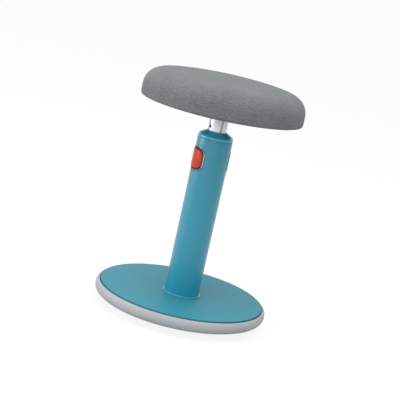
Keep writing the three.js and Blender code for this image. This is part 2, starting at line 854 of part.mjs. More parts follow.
// Moulded dish that hides the bracket, hung from the pan inside the cover's hem
function underCover() {
  const rim = coverHemRadius - gap;
  const top = panBottom - gap;
  const wall = underCoverWall;
  const hole = hubRadius + runningGap;
  const rimZ = top - underCoverRimDrop;
  const ledgeZLow = top - underCoverLedgeDrop;
  const floorZ = top - underCoverFloorDrop;
  const hubZ = top - underCoverHubDrop;
  const profile = [
    [hole, hubZ],
    [underCoverHubFlatRadius, hubZ],
    [underCoverFloorRadius, floorZ],
    [underCoverLedgeInnerRadius, ledgeZLow],
    [underCoverLedgeOuterRadius, ledgeZLow],
    [rim, rimZ],
    [rim, top],
    [rim - wall * 2, top],
    [rim - wall * 2, rimZ + wall],
    [underCoverLedgeOuterRadius - wall, ledgeZLow + wall],
    [underCoverLedgeInnerRadius - wall, ledgeZLow + wall],
    [underCoverFloorRadius - wall, floorZ + wall],
    [underCoverHubFlatRadius, hubZ + wall],
    [hole, hubZ + wall],
  ];
  const places = underCoverScrewPlaces();
  const bosses = places.map(([x, y]) =>
    toSolid(at(disc(underCoverBossRadius, ledgeZLow + wall / 2, top, smallSides), x, y)));
  const [low, high] = [ledgeZLow - overrun, top + overrun];
  const holes = places.map(([x, y]) =>
    toSolid(at(disc(underCoverScrewRadius + gap, low, high, smallSides), x, y)));
  return cut(join(toSolid(turnedRing(profile, largeSides)), ...bosses), ...holes);
}

function underCoverScrew([x, y]) {
  const seat = panBottom - gap - underCoverLedgeDrop - gap;
  const tip = panTop - screwTipShort - gap;
  return at(screw(underCoverScrewRadius, underCoverScrewHeadRadius,
    underCoverScrewHeadHeight, seat, tip), x, y);
}

function piece(name, shape, finish) {
  const geometry = shape.isBufferGeometry ? weld(shape) : toGeometry(shape);
  const mesh = new THREE.Mesh(geometry, new THREE.MeshStandardMaterial(finish));
  mesh.name = name;
  return mesh;
}

function numbered(name, places, make, finish) {
  return places.map((place, i) => piece(`${name}_${i + 1}`, make(place), finish));
}

function baseGroup() {
  const group = new THREE.Group();
  group.add(
    piece('rubber_foot', rubberFoot(), greyRubber),
    piece('ballast_disc', ballastDisc(), zincSteel),
    piece('base_plate', basePlate(), tealPlastic),
    ...numbered('base_screw', baseScrewPlaces(), baseScrew, zincSteel),
    piece('column_washer',
      ring(columnBoltHole, columnWasherRadius, washerBottom, washerTop, tubeSides), zincSteel),
    piece('column_bolt', columnBolt(), zincSteel),
    piece('column_plug',
      ring(columnBoltHole, columnLowBore - gap, columnFootZ, plugTop, tubeSides), satinAluminium),
    piece('foot_collar', footCollar(), tealPlastic),
  );
  return group;
}

// Everything that lines up with the button, drawn with the button along +X and then turned
function columnGroup() {
  const bumperOuter = columnLowBore - gap;
  const group = new THREE.Group();
  group.add(
    piece('outer_column', outerColumn(), tealPlastic),
    piece('stop_bumper',
      ring(bumperOuter - bumperWidth, bumperOuter, bumperBottom, bumperTop, tubeSides), blackPlastic),
    piece('latch_housing', latchHousing(), blackPlastic),
    piece('button_bezel', buttonBezel(), blackPlastic),
    piece('latch_cover', latchCover(), tealPlastic),
    piece('column_cap', columnCap(), tealPlastic),
    piece('upper_guide', upperGuide(), whiteNylon),
    piece('release_button', releaseButton(), redPlastic),
    piece('release_yoke', releaseYoke(), whiteNylon),
    piece('return_spring', returnSpring(), zincSteel),
    piece('inner_tube', innerTube(), satinAluminium),
    piece('lower_guide', lowerGuide(), whiteNylon),
    piece('guide_pin', guidePin(), zincSteel),
  );
  group.rotation.z = buttonAngle;
  return group;
}

function seatGroup() {
  const group = new THREE.Group();
  group.add(
    piece('swivel_spindle', swivelSpindle(), satinAluminium),
    piece('thrust_washer',
      ring(swivelBore, innerTubeRadius, thrustBottom, thrustTop, tubeSides), whiteNylon),
    piece('swivel_hub', swivelHub(), satinAluminium),
    piece('seat_bracket', seatBracket(), blackPlastic),
    ...numbered('bracket_screw', bracketScrewPlaces(), bracketScrew, zincSteel),
    piece('spindle_washer',
      ring(swivelBore, spindleWasherRadius, spindleWasherBottom, spindleWasherTop, tubeSides), zincSteel),
    piece('spindle_nut', spindleNut(), zincSteel),
    piece('seat_pan', seatPan(), birchPly),
    piece('seat_foam', seatFoam(), paleFoam),
    piece('seat_cover', seatCover(), greyFabric),
    piece('under_cover', underCover(), blackPlastic),
    ...numbered('under_cover_screw', underCoverScrewPlaces(), underCoverScrew, zincSteel),
  );
  return group;
}

const stool = new THREE.Group();
stool.name = 'wobble_stool';
stool.add(baseGroup(), columnGroup(), seatGroup());

export default stool;
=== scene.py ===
import bmesh
import bpy
import json
import math
import numpy as np
from mathutils import Matrix, Vector


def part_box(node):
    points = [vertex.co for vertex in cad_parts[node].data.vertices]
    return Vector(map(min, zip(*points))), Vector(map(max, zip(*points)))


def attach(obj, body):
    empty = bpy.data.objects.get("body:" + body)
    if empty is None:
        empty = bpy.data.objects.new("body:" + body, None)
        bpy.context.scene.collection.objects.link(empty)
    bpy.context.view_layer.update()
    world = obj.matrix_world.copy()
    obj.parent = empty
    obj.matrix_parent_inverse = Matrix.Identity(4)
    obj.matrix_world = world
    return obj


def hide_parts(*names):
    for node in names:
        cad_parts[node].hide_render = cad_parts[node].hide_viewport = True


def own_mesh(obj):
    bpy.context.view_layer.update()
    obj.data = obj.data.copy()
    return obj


# Wobble stool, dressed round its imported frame. Lengths in the plans below are millimetres.
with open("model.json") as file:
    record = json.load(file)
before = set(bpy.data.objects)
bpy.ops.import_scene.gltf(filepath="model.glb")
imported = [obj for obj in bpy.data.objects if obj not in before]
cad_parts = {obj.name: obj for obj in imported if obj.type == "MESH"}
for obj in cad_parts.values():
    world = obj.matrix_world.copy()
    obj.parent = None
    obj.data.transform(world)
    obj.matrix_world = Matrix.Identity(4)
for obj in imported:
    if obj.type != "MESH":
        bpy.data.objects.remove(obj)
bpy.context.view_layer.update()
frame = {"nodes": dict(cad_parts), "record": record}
mm = 0.001
print("frame loaded:", len(frame["nodes"]), "nodes")


# small helpers
def leaveEdit():
    bpy.ops.object.mode_set(mode="OBJECT")


def deselectAll():
    if bpy.context.object and bpy.context.object.mode != "OBJECT":
        leaveEdit()
    bpy.ops.object.select_all(action="DESELECT")


def workOn(piece, mode="EDIT"):
    deselectAll()
    piece.select_set(True)
    bpy.context.view_layer.objects.active = piece
    bpy.ops.object.mode_set(mode=mode)


def selectEverything():
    bpy.ops.mesh.select_mode(type="VERT")
    bpy.ops.mesh.select_all(action="SELECT")


def editAll(piece):
    workOn(piece)
    selectEverything()


def faceOutwards():
    selectEverything()
    bpy.ops.mesh.normals_make_consistent(inside=False)


def addShape(name, operator, **settings):
    # new primitive with its place in its mesh and its object at the origin
    deselectAll()
    operator(**settings)
    piece = bpy.context.object
    piece.name = piece.data.name = name
    bpy.ops.object.transform_apply(location=True, rotation=True, scale=True)
    return piece


def pickCorners(test):
    # selects the corners whose place, in mm, passes the test
    bpy.ops.mesh.select_mode(type="VERT")
    bpy.ops.mesh.select_all(action="DESELECT")
    mesh = bmesh.from_edit_mesh(bpy.context.object.data)
    for corner in mesh.verts:
        corner.select = test(corner.co / mm)
    mesh.select_flush_mode()
    bmesh.update_edit_mesh(bpy.context.object.data)


def dress(piece, slot, body, *nodes, finish=None, degrees=32):
    # smooth shading, the slot's finish or another one, and what it rides on and stands for
    workOn(piece, "OBJECT")
    bpy.ops.object.shade_smooth_by_angle(angle=math.radians(degrees))
    piece.data.materials.clear()
    piece.data.materials.append(finish or slotFinishes[slot])
    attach(piece, body)
    if nodes:
        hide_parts(*nodes)


def levels(node):
    # lowest and highest point of a CAD node, in mm
    low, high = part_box(node)
    return low.z / mm, high.z / mm


def middleOf(node):
    low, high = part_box(node)
    return (low + high) / 2


def arcPoints(centre, radius, start, end, count):
    return [
        (centre[0] + radius * math.cos(turn), centre[1] + radius * math.sin(turn))
        for turn in np.linspace(start, end, count)
    ]


touching = 0.002    # mm between corners that count as one
roundSteps = 4    # faces across a small rounded edge


def turnedPiece(name, points, sides=160, closed=True):
    # a section drawn on from point to point in the XZ plane, then spun; a point's third number rounds it
    piece = addShape(name, bpy.ops.mesh.primitive_plane_add, size=mm,
                     location=(points[0][0] * mm, 0, points[0][1] * mm))
    editAll(piece)
    bpy.ops.mesh.merge(type="CENTER")
    for before, after in zip(points, points[1:]):
        step = ((after[0] - before[0]) * mm, 0, (after[1] - before[1]) * mm)
        bpy.ops.mesh.extrude_vertices_move(TRANSFORM_OT_translate={"value": step})
    if closed:
        ends = [Vector((p[0], 0, p[1])) for p in (points[0], points[-1])]
        pickCorners(lambda place: min((place - end).length for end in ends) < touching)
        bpy.ops.mesh.edge_face_add()
    for point in points:
        if len(point) > 2:
            spot = Vector((point[0], 0, point[1]))
            pickCorners(lambda place: (place - spot).length < touching)
            bpy.ops.mesh.bevel(affect="VERTICES", offset=point[2] * mm, segments=roundSteps)
    selectEverything()
    bpy.ops.mesh.spin(steps=sides, angle=math.tau, center=(0, 0, 0), axis=(0, 0, 1))
    selectEverything()
    bpy.ops.mesh.remove_doubles(threshold=touching * mm)
    faceOutwards()
    leaveEdit()
    return piece


def shapeWith(piece, kind, **settings):
    # adds a modifier, sets it up and applies it
    workOn(piece, "OBJECT")
    bpy.ops.object.modifier_add(type=kind)
    modifier = piece.modifiers[-1]
    for key, value in settings.items():
        setattr(modifier, key, value)
    bpy.ops.object.modifier_apply(modifier=modifier.name)


def carve(piece, cutter):
    shapeWith(piece, "BOOLEAN", operation="DIFFERENCE", solver="MANIFOLD", object=cutter)
    bpy.data.objects.remove(cutter)


def addRod(radius, length, place, sides=32, turn=(0, 0, 0)):
    # round bar to cut with; its place is in metres
    return addShape("rodCutter", bpy.ops.mesh.primitive_cylinder_add, vertices=sides,
                    radius=radius * mm, depth=length * mm, location=place, rotation=turn)


def joinAll(pieces):
    workOn(pieces[0], "OBJECT")
    for piece in pieces:
        piece.select_set(True)
    bpy.ops.object.join()
    return pieces[0]


def moveMesh(piece, step):
    # moves the mesh by this step, in metres
    editAll(piece)
    bpy.ops.transform.translate(value=step)
    leaveEdit()


def turnAbout(piece, angle):
    # turns the mesh about the column's axis; without a window the operator turns the other way
    editAll(piece)
    bpy.ops.transform.rotate(value=-angle, orient_axis="Z", center_override=(0, 0, 0))
    leaveEdit()


def cornersOf(piece):
    places = np.empty(len(piece.data.vertices) * 3)
    piece.data.vertices.foreach_get("co", places)
    return places.reshape(-1, 3)


def setCorners(piece, places):
    piece.data.vertices.foreach_set("co", places.ravel())
    piece.data.update()


# finishes
def linearColour(code):
    parts = [int(code[i:i + 2], 16) / 255 for i in (0, 2, 4)]
    return (*[p / 12.92 if p <= 0.04045 else ((p + 0.055) / 1.055) ** 2.4 for p in parts], 1)


def perMetre(size):
    return 1 / (size * mm)


def addNode(tree, kind, inputs=None, **settings):
    # adds a node, sets it up, and links each input that is another node's socket
    node = tree.nodes.new("ShaderNode" + kind)
    for key, value in settings.items():
        setattr(node, key, value)
    for key, value in (inputs or {}).items():
        if isinstance(value, bpy.types.NodeSocket):
            tree.links.new(value, node.inputs[key])
        else:
            node.inputs[key].default_value = value
    return node


def newFinish(name, shaderValues):
    finish = bpy.data.materials.new(name)
    finish.use_nodes = True
    tree = finish.node_tree
    shader = tree.nodes["Principled BSDF"]
    for key, value in shaderValues.items():
        shader.inputs[key].default_value = value
    place = addNode(tree, "TexCoord").outputs["Object"]
    return finish, tree, shader, place


def toneBetween(tree, shader, share, dark, light):
    tone = addNode(tree, "Mix", {0: share, 6: linearColour(dark), 7: linearColour(light)}, data_type="RGBA")
    tree.links.new(tone.outputs[2], shader.inputs["Base Color"])


def roughBetween(tree, shader, share, smooth, rough):
    spread = addNode(tree, "MapRange",
                     {"Value": share, "To Min": smooth, "To Max": rough})
    tree.links.new(spread.outputs["Result"], shader.inputs["Roughness"])


def addBump(tree, shader, height, depth, strength=1.0):
    bump = addNode(tree, "Bump",
                   {"Height": height, "Distance": depth * mm, "Strength": strength})
    tree.links.new(bump.outputs["Normal"], shader.inputs["Normal"])


def mouldedPlastic(name, look):
    # injection-moulded part out of a spark-eroded mould: even colour, fine pebble, satin sheen
    finish, tree, shader, place = newFinish(name, {
        "Specular IOR Level": look["specular"], "Coat Weight": look.get("coat", 0),
        "Coat Roughness": look.get("coatRough", 0.4),
    })
    cloud = addNode(tree, "TexNoise",
                    {"Vector": place, "Scale": perMetre(look["cloudSize"]), "Detail": 3})
    pebble = addNode(tree, "TexNoise",
                     {"Vector": place, "Scale": perMetre(look["pebbleSize"]), "Detail": 2})
    toneBetween(tree, shader, cloud.outputs["Fac"], look["dark"], look["light"])
    roughBetween(tree, shader, cloud.outputs["Fac"], look["smooth"], look["rough"])
    addBump(tree, shader, pebble.outputs["Fac"], look["pebbleDepth"])
    return finish


def toneByDepth(tree, shader, place, lines, look):
    # the tube's colour: lined outside, painted shade in the grooves, a painted near-black shade in the bore
    level = addNode(tree, "VectorMath", {0: place, 1: (1, 1, 0)}, operation="MULTIPLY")
    out = addNode(tree, "VectorMath", {0: level.outputs["Vector"]}, operation="LENGTH")
    depth = addNode(tree, "MapRange", {
        "Value": out.outputs["Value"],
        "From Min": look["boreRadius"] * mm, "From Max": look["faceRadius"] * mm}).outputs["Result"]
    ramp = addNode(tree, "ValToRGB", {0: depth})
    stops = ramp.color_ramp.elements
    stops[0].position, stops[0].color = look["boreEnd"], linearColour(look["bore"])
    stops[1].position, stops[1].color = 1, linearColour(look["dark"])
    for spot in look["grooveSpan"]:
        stops.new(spot).color = linearColour(look["groove"])
    outside = addNode(tree, "Math", {0: depth, 1: 0.99}, operation="GREATER_THAN")
    drawn = addNode(tree, "Math", {0: lines, 1: outside.outputs[0]}, operation="MULTIPLY")
    tone = addNode(tree, "Mix", data_type="RGBA", inputs={
        0: drawn.outputs[0], 6: ramp.outputs["Color"], 7: linearColour(look["light"])})
    tree.links.new(tone.outputs[2], shader.inputs["Base Color"])


def metalFinish(name, look):
    # metal with an even grain, or fine lines from drawing; metals keep the default IOR
    finish, tree, shader, place = newFinish(name, {"Metallic": 1})
    stretched = addNode(tree, "Mapping", {"Vector": place, "Scale": look.get("lines", (1, 1, 1))})
    lines = addNode(tree, "TexNoise", {
        "Vector": stretched.outputs["Vector"], "Scale": perMetre(look["lineWidth"]),
        "Detail": look.get("detail", 4)}).outputs["Fac"]
    if "bore" in look:
        toneByDepth(tree, shader, place, lines, look)
    else:
        toneBetween(tree, shader, lines, look["dark"], look["light"])
    roughBetween(tree, shader, lines, look["smooth"], look["rough"])
    addBump(tree, shader, lines, look["lineDepth"])
    return finish


# ABS in one mass colour, finely grained by its mould: the column and the cover opposite the button
tealMoulded = mouldedPlastic("tealMouldedAbs", {
    "dark": "1c8aa2", "light": "2390a9", "specular": 0.5, "coat": 0.4, "smooth": 0.33, "rough": 0.4,
    "cloudSize": 90, "pebbleSize": 0.9, "pebbleDepth": 0.012,
})
# the cap and the collar: glossier, and their colour painted lighter as painted light, against the cushion's
# shadow over the cap
tealPaintedLighterCap = mouldedPlastic("tealMouldedAbsPaintedLighter", {
    "dark": "269fba", "light": "2ea6c1", "specular": 0.5, "coat": 0.7, "coatRough": 0.28,
    "smooth": 0.3, "rough": 0.37, "cloudSize": 60, "pebbleSize": 0.9, "pebbleDepth": 0.01,
})
# the same ABS with a coarser texture, as on the plate that feet rest on
tealTread = mouldedPlastic("tealTexturedAbs", {
    "dark": "318a9d", "light": "378fa2", "specular": 0.28, "smooth": 0.46, "rough": 0.56,
    "cloudSize": 120, "pebbleSize": 1.3, "pebbleDepth": 0.025,
})
# the plate's outermost edge: a painted shade line, darker teal standing in for the shadow of the gap beside
# it
tealPaintedShadeEdge = mouldedPlastic("tealAbsPaintedShadeEdge", {
    "dark": "23687a", "light": "276f82", "specular": 0.3, "smooth": 0.42, "rough": 0.5,
    "cloudSize": 60, "pebbleSize": 0.9, "pebbleDepth": 0.01,
})
# glossier ABS of the push button
redButton = mouldedPlastic("redGlossAbs", {
    "dark": "c5330e", "light": "cf3b10", "specular": 0.3, "smooth": 0.32, "rough": 0.4,
    "cloudSize": 30, "pebbleSize": 0.8, "pebbleDepth": 0.008,
})
# black polypropylene, coarse texture, of the housing, the button's frame and the under cover
blackMoulded = mouldedPlastic("blackTexturedPolypropylene", {
    "dark": "17181a", "light": "1d1e20", "specular": 0.4, "smooth": 0.52, "rough": 0.62,
    "cloudSize": 40, "pebbleSize": 1.2, "pebbleDepth": 0.03,
})
# nylon of the guides, a little yellow
whiteNylon = mouldedPlastic("whiteMouldedNylon", {
    "dark": "dcd9cc", "light": "e6e3d8", "specular": 0.45, "smooth": 0.4, "rough": 0.5,
    "cloudSize": 25, "pebbleSize": 1, "pebbleDepth": 0.01,
})
# soft thermoplastic rubber of the foot: pale grey, dull, with a fine dry texture
greyRubber = mouldedPlastic("greyMouldedRubber", {
    "dark": "a6aaad", "light": "aeb1b5", "specular": 0.25, "smooth": 0.62, "rough": 0.74,
    "cloudSize": 70, "pebbleSize": 1.1, "pebbleDepth": 0.03,
})
# black rubber of the stop
blackRubber = mouldedPlastic("blackMouldedRubber", {
    "dark": "161617", "light": "1c1c1d", "specular": 0.3, "smooth": 0.66, "rough": 0.78,
    "cloudSize": 20, "pebbleSize": 1, "pebbleDepth": 0.03,
})
# machined aluminium of the swivel, anodised: pale and silky
satinAluminium = metalFinish("anodisedAluminium", {
    "dark": "c3c4c8", "light": "d2d3d7", "lines": (1, 1, 0.01), "lineWidth": 0.5, "lineDepth": 0.004,
    "smooth": 0.32, "rough": 0.42,
})
# the trim ring round the button: rolled stainless strip, greyer than the tube
trimSteel = metalFinish("rolledStainlessSteel", {
    "dark": "9fa6a9", "light": "b3babd", "lineWidth": 0.6, "lineDepth": 0.003,
    "smooth": 0.34, "rough": 0.44,
})
# walls of the drilled holes: painted nearly black as painted shade, and dull
holeWallPaintedShade = metalFinish("drilledAluminiumPaintedShade", {
    "dark": "0a0a0b", "light": "141415", "lineWidth": 0.5, "lineDepth": 0.004,
    "smooth": 0.6, "rough": 0.7,
})
# zinc-plated steel of screws and small parts, slightly blue
zincSteel = metalFinish("zincPlatedSteel", {
    "dark": "9a9da3", "light": "b2b5ba", "lineWidth": 2.5, "lineDepth": 0.004,
    "smooth": 0.28, "rough": 0.4,
})
# cast weight: nearly black, grainy, dull
castIron = metalFinish("blackenedCastIron", {
    "dark": "3d3d3f", "light": "545457", "lineWidth": 2, "detail": 6, "lineDepth": 0.15,
    "smooth": 0.5, "rough": 0.75,
})


def powderCoat():
    # black powder coat on the steel bracket: orange peel about 2 mm across
    finish, tree, shader, place = newFinish("blackPowderCoatedSteel", {
        "Coat Weight": 0.2, "Coat Roughness": 0.3})
    peel = addNode(tree, "TexNoise", {"Vector": place, "Scale": perMetre(2), "Detail": 1})
    toneBetween(tree, shader, peel.outputs["Fac"], "1b1c1e", "212224")
    roughBetween(tree, shader, peel.outputs["Fac"], 0.38, 0.5)
    addBump(tree, shader, peel.outputs["Fac"], 0.05)
    return finish


def birchPly():
    # birch plywood: veneers 1.4 mm thick show on its edge, long fine grain on its faces
    finish, tree, shader, place = newFinish("birchPlywood", {"Roughness": 0.65})
    split = addNode(tree, "SeparateXYZ", {0: place})
    layer = addNode(tree, "Math",
                    {0: split.outputs["Z"], 1: math.tau * perMetre(2.8)}, operation="MULTIPLY")
    band = addNode(tree, "Math", {0: layer.outputs[0]}, operation="SINE")
    stretched = addNode(tree, "Mapping", {"Vector": place, "Scale": (0.06, 1, 1)})
    grain = addNode(tree, "TexNoise",
                    {"Vector": stretched.outputs["Vector"], "Scale": perMetre(3), "Detail": 6})
    both = addNode(tree, "Math",
                   {0: band.outputs[0], 1: 0.2, 2: grain.outputs["Fac"]}, operation="MULTIPLY_ADD")
    toneBetween(tree, shader, both.outputs[0], "b8945f", "dcc399")
    addBump(tree, shader, grain.outputs["Fac"], 0.05)
    return finish


def paleFoam():
    # cut polyurethane foam: open cells about 1 mm across
    finish, tree, shader, place = newFinish("paleCutFoam", {"Roughness": 0.95})
    cells = addNode(tree, "TexVoronoi", {"Vector": place, "Scale": perMetre(1.2)})
    toneBetween(tree, shader, cells.outputs["Distance"], "d6cfb4", "e8e2cb")
    addBump(tree, shader, cells.outputs["Distance"], 0.3)
    return finish


# knit of the cushion's cover; a real stitch is about 1.1 mm, and it is drawn twice that size to show
knitPlan = {
    "stitchWidth": 2.2, "stitchHeight": 2.4, "stitchDepth": 0.34,
    "ribPitch": 6.6, "ribDepth": 0.14, "ribStart": 70, "ribFull": 150,
    "yarnDark": "555859", "yarnLight": "868a8b", "fleckSize": 2.3, "cloudSize": 45,
    "dashLength": 9, "dashWidth": 2.2, "turnRadius": 150,
    "ribTone": 0.03, "dashTone": 0.55, "fleckTone": 0.5, "stitchTone": 0.25, "cloudTone": 0.3,
    "toneDrop": 0.3,
}


def greyKnit(plan):
    # polyester knit stretched over foam: dull grey melange, small V stitches, faint ribs running round
    finish, tree, shader, place = newFinish("greyPolyesterKnit", {
        "Roughness": 0.9, "Specular IOR Level": 0.2, "Sheen Weight": 0.12, "Sheen Roughness": 0.5,
    })
    cloth = addNode(tree, "UVMap", uv_map="knit").outputs["UV"]
    across = addNode(tree, "SeparateXYZ", {0: cloth})
    out = addNode(tree, "VectorMath", {0: cloth}, operation="LENGTH").outputs["Value"]
    shown = addNode(tree, "MapRange", {
        "Value": out, "From Min": plan["ribStart"] * mm, "From Max": plan["ribFull"] * mm})
    flecks = addNode(tree, "TexNoise", {
        "Vector": place, "Scale": perMetre(plan["fleckSize"]), "Detail": 3, "Roughness": 0.7})
    cloud = addNode(tree, "TexNoise", {"Vector": place, "Scale": perMetre(plan["cloudSize"]), "Detail": 2})

    # dashes of lighter and darker yarn, longer round the seat than across it
    heading = addNode(tree, "VectorMath", {0: cloth}, operation="NORMALIZE")
    turned = addNode(tree, "VectorMath", {
        0: heading.outputs["Vector"], "Scale": plan["turnRadius"] / plan["dashLength"]}, operation="SCALE")
    split = addNode(tree, "SeparateXYZ", {0: turned.outputs["Vector"]})
    ring = addNode(tree, "Math", {0: out, 1: perMetre(plan["dashWidth"])}, operation="MULTIPLY")
    spot = addNode(tree, "CombineXYZ", {0: split.outputs["X"], 1: split.outputs["Y"], 2: ring.outputs[0]})
    dashes = addNode(tree, "TexNoise", {
        "Vector": spot.outputs["Vector"], "Scale": 1, "Detail": 2, "Roughness": 0.6})

    # each row makes a value out of the ones before it
    made = {
        "x": across.outputs["X"], "y": across.outputs["Y"], "out": out, "shown": shown.outputs["Result"],
        "fleck": flecks.outputs["Fac"], "cloud": cloud.outputs["Fac"], "dash": dashes.outputs["Fac"],
    }
    for name, operation, *sources in (
        ("column", "MULTIPLY", "x", perMetre(plan["stitchWidth"])),
        ("row", "MULTIPLY", "y", perMetre(plan["stitchHeight"])),
        ("side", "FRACT", "column"),
        ("side", "SUBTRACT", "side", 0.5),
        ("side", "ABSOLUTE", "side"),
        ("loop", "ADD", "row", "side"),
        ("loop", "FRACT", "loop"),
        ("loop", "MULTIPLY", "loop", math.pi),
        ("loop", "SINE", "loop"),
        ("gutter", "MULTIPLY", "side", math.pi * 0.8),
        ("gutter", "COSINE", "gutter"),
        ("stitch", "MULTIPLY", "loop", "gutter"),
        ("rib", "MULTIPLY", "out", math.tau * perMetre(plan["ribPitch"])),
        ("rib", "SINE", "rib"),
        ("rib", "MULTIPLY", "rib", "shown"),
        ("tone", "MULTIPLY_ADD", "rib", plan["ribTone"], "fleck"),
        ("dash", "SUBTRACT", "dash", 0.5),
        ("dash", "MULTIPLY", "dash", "shown"),
        ("tone", "MULTIPLY_ADD", "dash", plan["dashTone"], "tone"),
        ("fleck", "SUBTRACT", "fleck", 0.5),
        ("tone", "MULTIPLY_ADD", "fleck", plan["fleckTone"], "tone"),
        ("tone", "MULTIPLY_ADD", "stitch", plan["stitchTone"], "tone"),
        ("tone", "MULTIPLY_ADD", "cloud", plan["cloudTone"], "tone"),
        ("tone", "SUBTRACT", "tone", plan["toneDrop"]),
        ("height", "MULTIPLY", "stitch", plan["stitchDepth"]),
        ("height", "MULTIPLY_ADD", "rib", plan["ribDepth"] / 2, "height"),
    ):
        inputs = {number: made.get(source, source) for number, source in enumerate(sources)}
        made[name] = addNode(tree, "Math", inputs, operation=operation).outputs[0]
    toneBetween(tree, shader, made["tone"], plan["yarnDark"], plan["yarnLight"])
    addBump(tree, shader, made["height"], 1)
    return finish


# extruded tube, brushed lengthwise on its outer face, with painted shade in its grooves and bore
tubeAluminium = metalFinish("brushedExtrudedAluminium", {
    "dark": "cbccce", "light": "dfe0e2", "groove": "a4a6a9", "bore": "101112",
    "boreRadius": 15.9, "faceRadius": 19.3, "boreEnd": 0.56, "grooveSpan": (0.6, 0.9),
    "lines": (1, 1, 0.01), "lineWidth": 0.5, "lineDepth": 0.004, "smooth": 0.5, "rough": 0.58,
})
slotFinishes = {
    "foot_rubber": greyRubber,
    "bumper_rubber": blackRubber,
    "teal_plastic": tealMoulded,
    "red_plastic": redButton,
    "black_plastic": blackMoulded,
    "white_nylon": whiteNylon,
    "satin_aluminium": satinAluminium,
    "ballast_steel": castIron,
    "bracket_steel": powderCoat(),
    "zinc_steel": zincSteel,
    "grey_fabric": greyKnit(knitPlan),
    "seat_foam": paleFoam(),
    "birch_ply": birchPly(),
}
for row in frame["record"]["subparts"]:
    frame["nodes"][row["node"]].material_slots[0].material = slotFinishes[row["material_slot"]]
print("finishes made:", len(slotFinishes))


# foot, plate and collar
footPlan = {
    "radius": 184.95, "flatRadius": 60, "rockRadius": 444, "rimHalf": (14.8, 13.85),
    "rimShoulder": 2.45, "rimInner": 178.1, "rimChamfer": (0.5, 0.4), "domeSteps": 16, "rimSteps": 14,
    "plateThickness": 4, "plateGap": 0.3, "wellRadius": 24, "wellFloor": 6, "recessRadius": 150.3,
    "screws": 6, "screwWell": 4.3, "screwHole": 2.3, "screwSeat": 11, "drillPast": 5,
}


def makeFoot(plan):
    plateHigh = levels("base_plate")[1]
    ballastLow = levels("ballast_disc")[0]
    flat, rock = plan["flatRadius"], plan["rockRadius"]
    halfWidth, halfHeight = plan["rimHalf"]
    rimCentre = plan["radius"] - halfWidth
    slope = rimTurn = 0
    for _ in range(40):    # where the dome runs into the rim
        rimTurn = math.atan(math.tan(slope) * halfWidth / halfHeight)
        reach = rimCentre + halfWidth * math.sin(rimTurn) - flat
        slope = math.asin(reach / rock)
    rimLevel = rock * (1 - math.cos(slope)) + halfHeight * math.cos(rimTurn)
    power = 2 / plan["rimShoulder"]
    chamferWidth, chamferDrop = plan["rimChamfer"]
    rimTop = math.acos(((plan["rimInner"] + chamferWidth - rimCentre) / halfWidth) ** (1 / power))
    dome = arcPoints((flat, rock), rock, -math.pi / 2, slope - math.pi / 2, plan["domeSteps"])
    rim = arcPoints((0, 0), 1, rimTurn - math.pi / 2, 0, plan["rimSteps"])
    rim += [(math.cos(turn) ** power, math.sin(turn) ** power)
            for turn in np.linspace(0.04, rimTop, plan["rimSteps"])]
    rim = [(rimCentre + halfWidth * across, rimLevel + halfHeight * up) for across, up in rim]
    rim.append((plan["rimInner"], rim[-1][1] - chamferDrop))
    plateUnder = plateHigh - plan["plateThickness"] - plan["plateGap"]
    floor = ballastLow - plan["plateGap"]
    points = [(0, 0), *dome, *rim[1:], (plan["rimInner"], plateUnder), (plan["recessRadius"], plateUnder),
              (plan["recessRadius"], floor), (plan["wellRadius"], floor),
              (plan["wellRadius"], plan["wellFloor"]), (0, plan["wellFloor"])]
    piece = turnedPiece("footRubber", points, closed=False)
    for radius, low, high in ((plan["screwWell"], -plan["drillPast"], plan["screwSeat"]),
                              (plan["screwHole"], 2, floor + plan["drillPast"])):
        cutters = []
        for number in range(1, plan["screws"] + 1):
            middle = middleOf(f"base_screw_{number}")
            cutters.append(addRod(radius, high - low, (middle.x, middle.y, (low + high) / 2 * mm)))
        carve(piece, joinAll(cutters))
    dress(piece, "foot_rubber", "root", "rubber_foot")


platePlan = {
    "thickness": 4, "edge": 1.1, "edgeInset": 2.6, "paintedShadeBand": 1, "dishStart": 58, "dishRise": 2.6,
    "boltHole": 6.3, "hubRadius": 25, "ribRadius": 143.5, "ribWidth": 3.5,
}


def makePlate(plan):
    low, high = levels("base_plate")
    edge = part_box("base_plate")[1].x / mm - plan["edgeInset"]
    under = high - plan["thickness"]
    ribInner = plan["ribRadius"] - plan["ribWidth"]
    # its top is dished a little, so that its edge is highest
    points = [(plan["boltHole"], low), (plan["hubRadius"], low), (plan["hubRadius"], under),
              (ribInner, under), (ribInner, low), (plan["ribRadius"], low), (plan["ribRadius"], under),
              (edge, under, 0.4), (edge, high + plan["dishRise"], plan["edge"]),
              (plan["dishStart"], high), (plan["boltHole"], high)]
    piece = turnedPiece("basePlate", points)
    dress(piece, "teal_plastic", "root", "base_plate", finish=tealTread)
    # faces in the outermost band of the edge take the painted shade line
    piece.data.materials.append(tealPaintedShadeEdge)
    for face in piece.data.polygons:
        if math.hypot(face.center.x, face.center.y) > (edge - plan["paintedShadeBand"]) * mm:
            face.material_index = 1


collarPlan = {"columnGap": 0.8, "edge": 0.7, "lip": 0.4, "undercut": 0.7, "sides": 128}


def makeCollar(plan):
    low, high = levels("foot_collar")
    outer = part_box("foot_collar")[1].x / mm
    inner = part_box("outer_column")[1].x / mm + plan["columnGap"]
    undercut = plan["undercut"]
    points = [(inner, low), (outer - undercut, low), (outer - undercut, low + undercut),
              (outer, low + undercut, 0.2), (outer, high, plan["edge"]), (inner, high, plan["lip"])]
    piece = turnedPiece("footCollar", points, plan["sides"])
    # the collar shares the cap's finish, whose colour is painted lighter as painted light
    dress(piece, "teal_plastic", "root", "foot_collar", finish=tealPaintedLighterCap)


makeFoot(footPlan)
makePlate(platePlan)
makeCollar(collarPlan)
print("foot, plate and collar made")


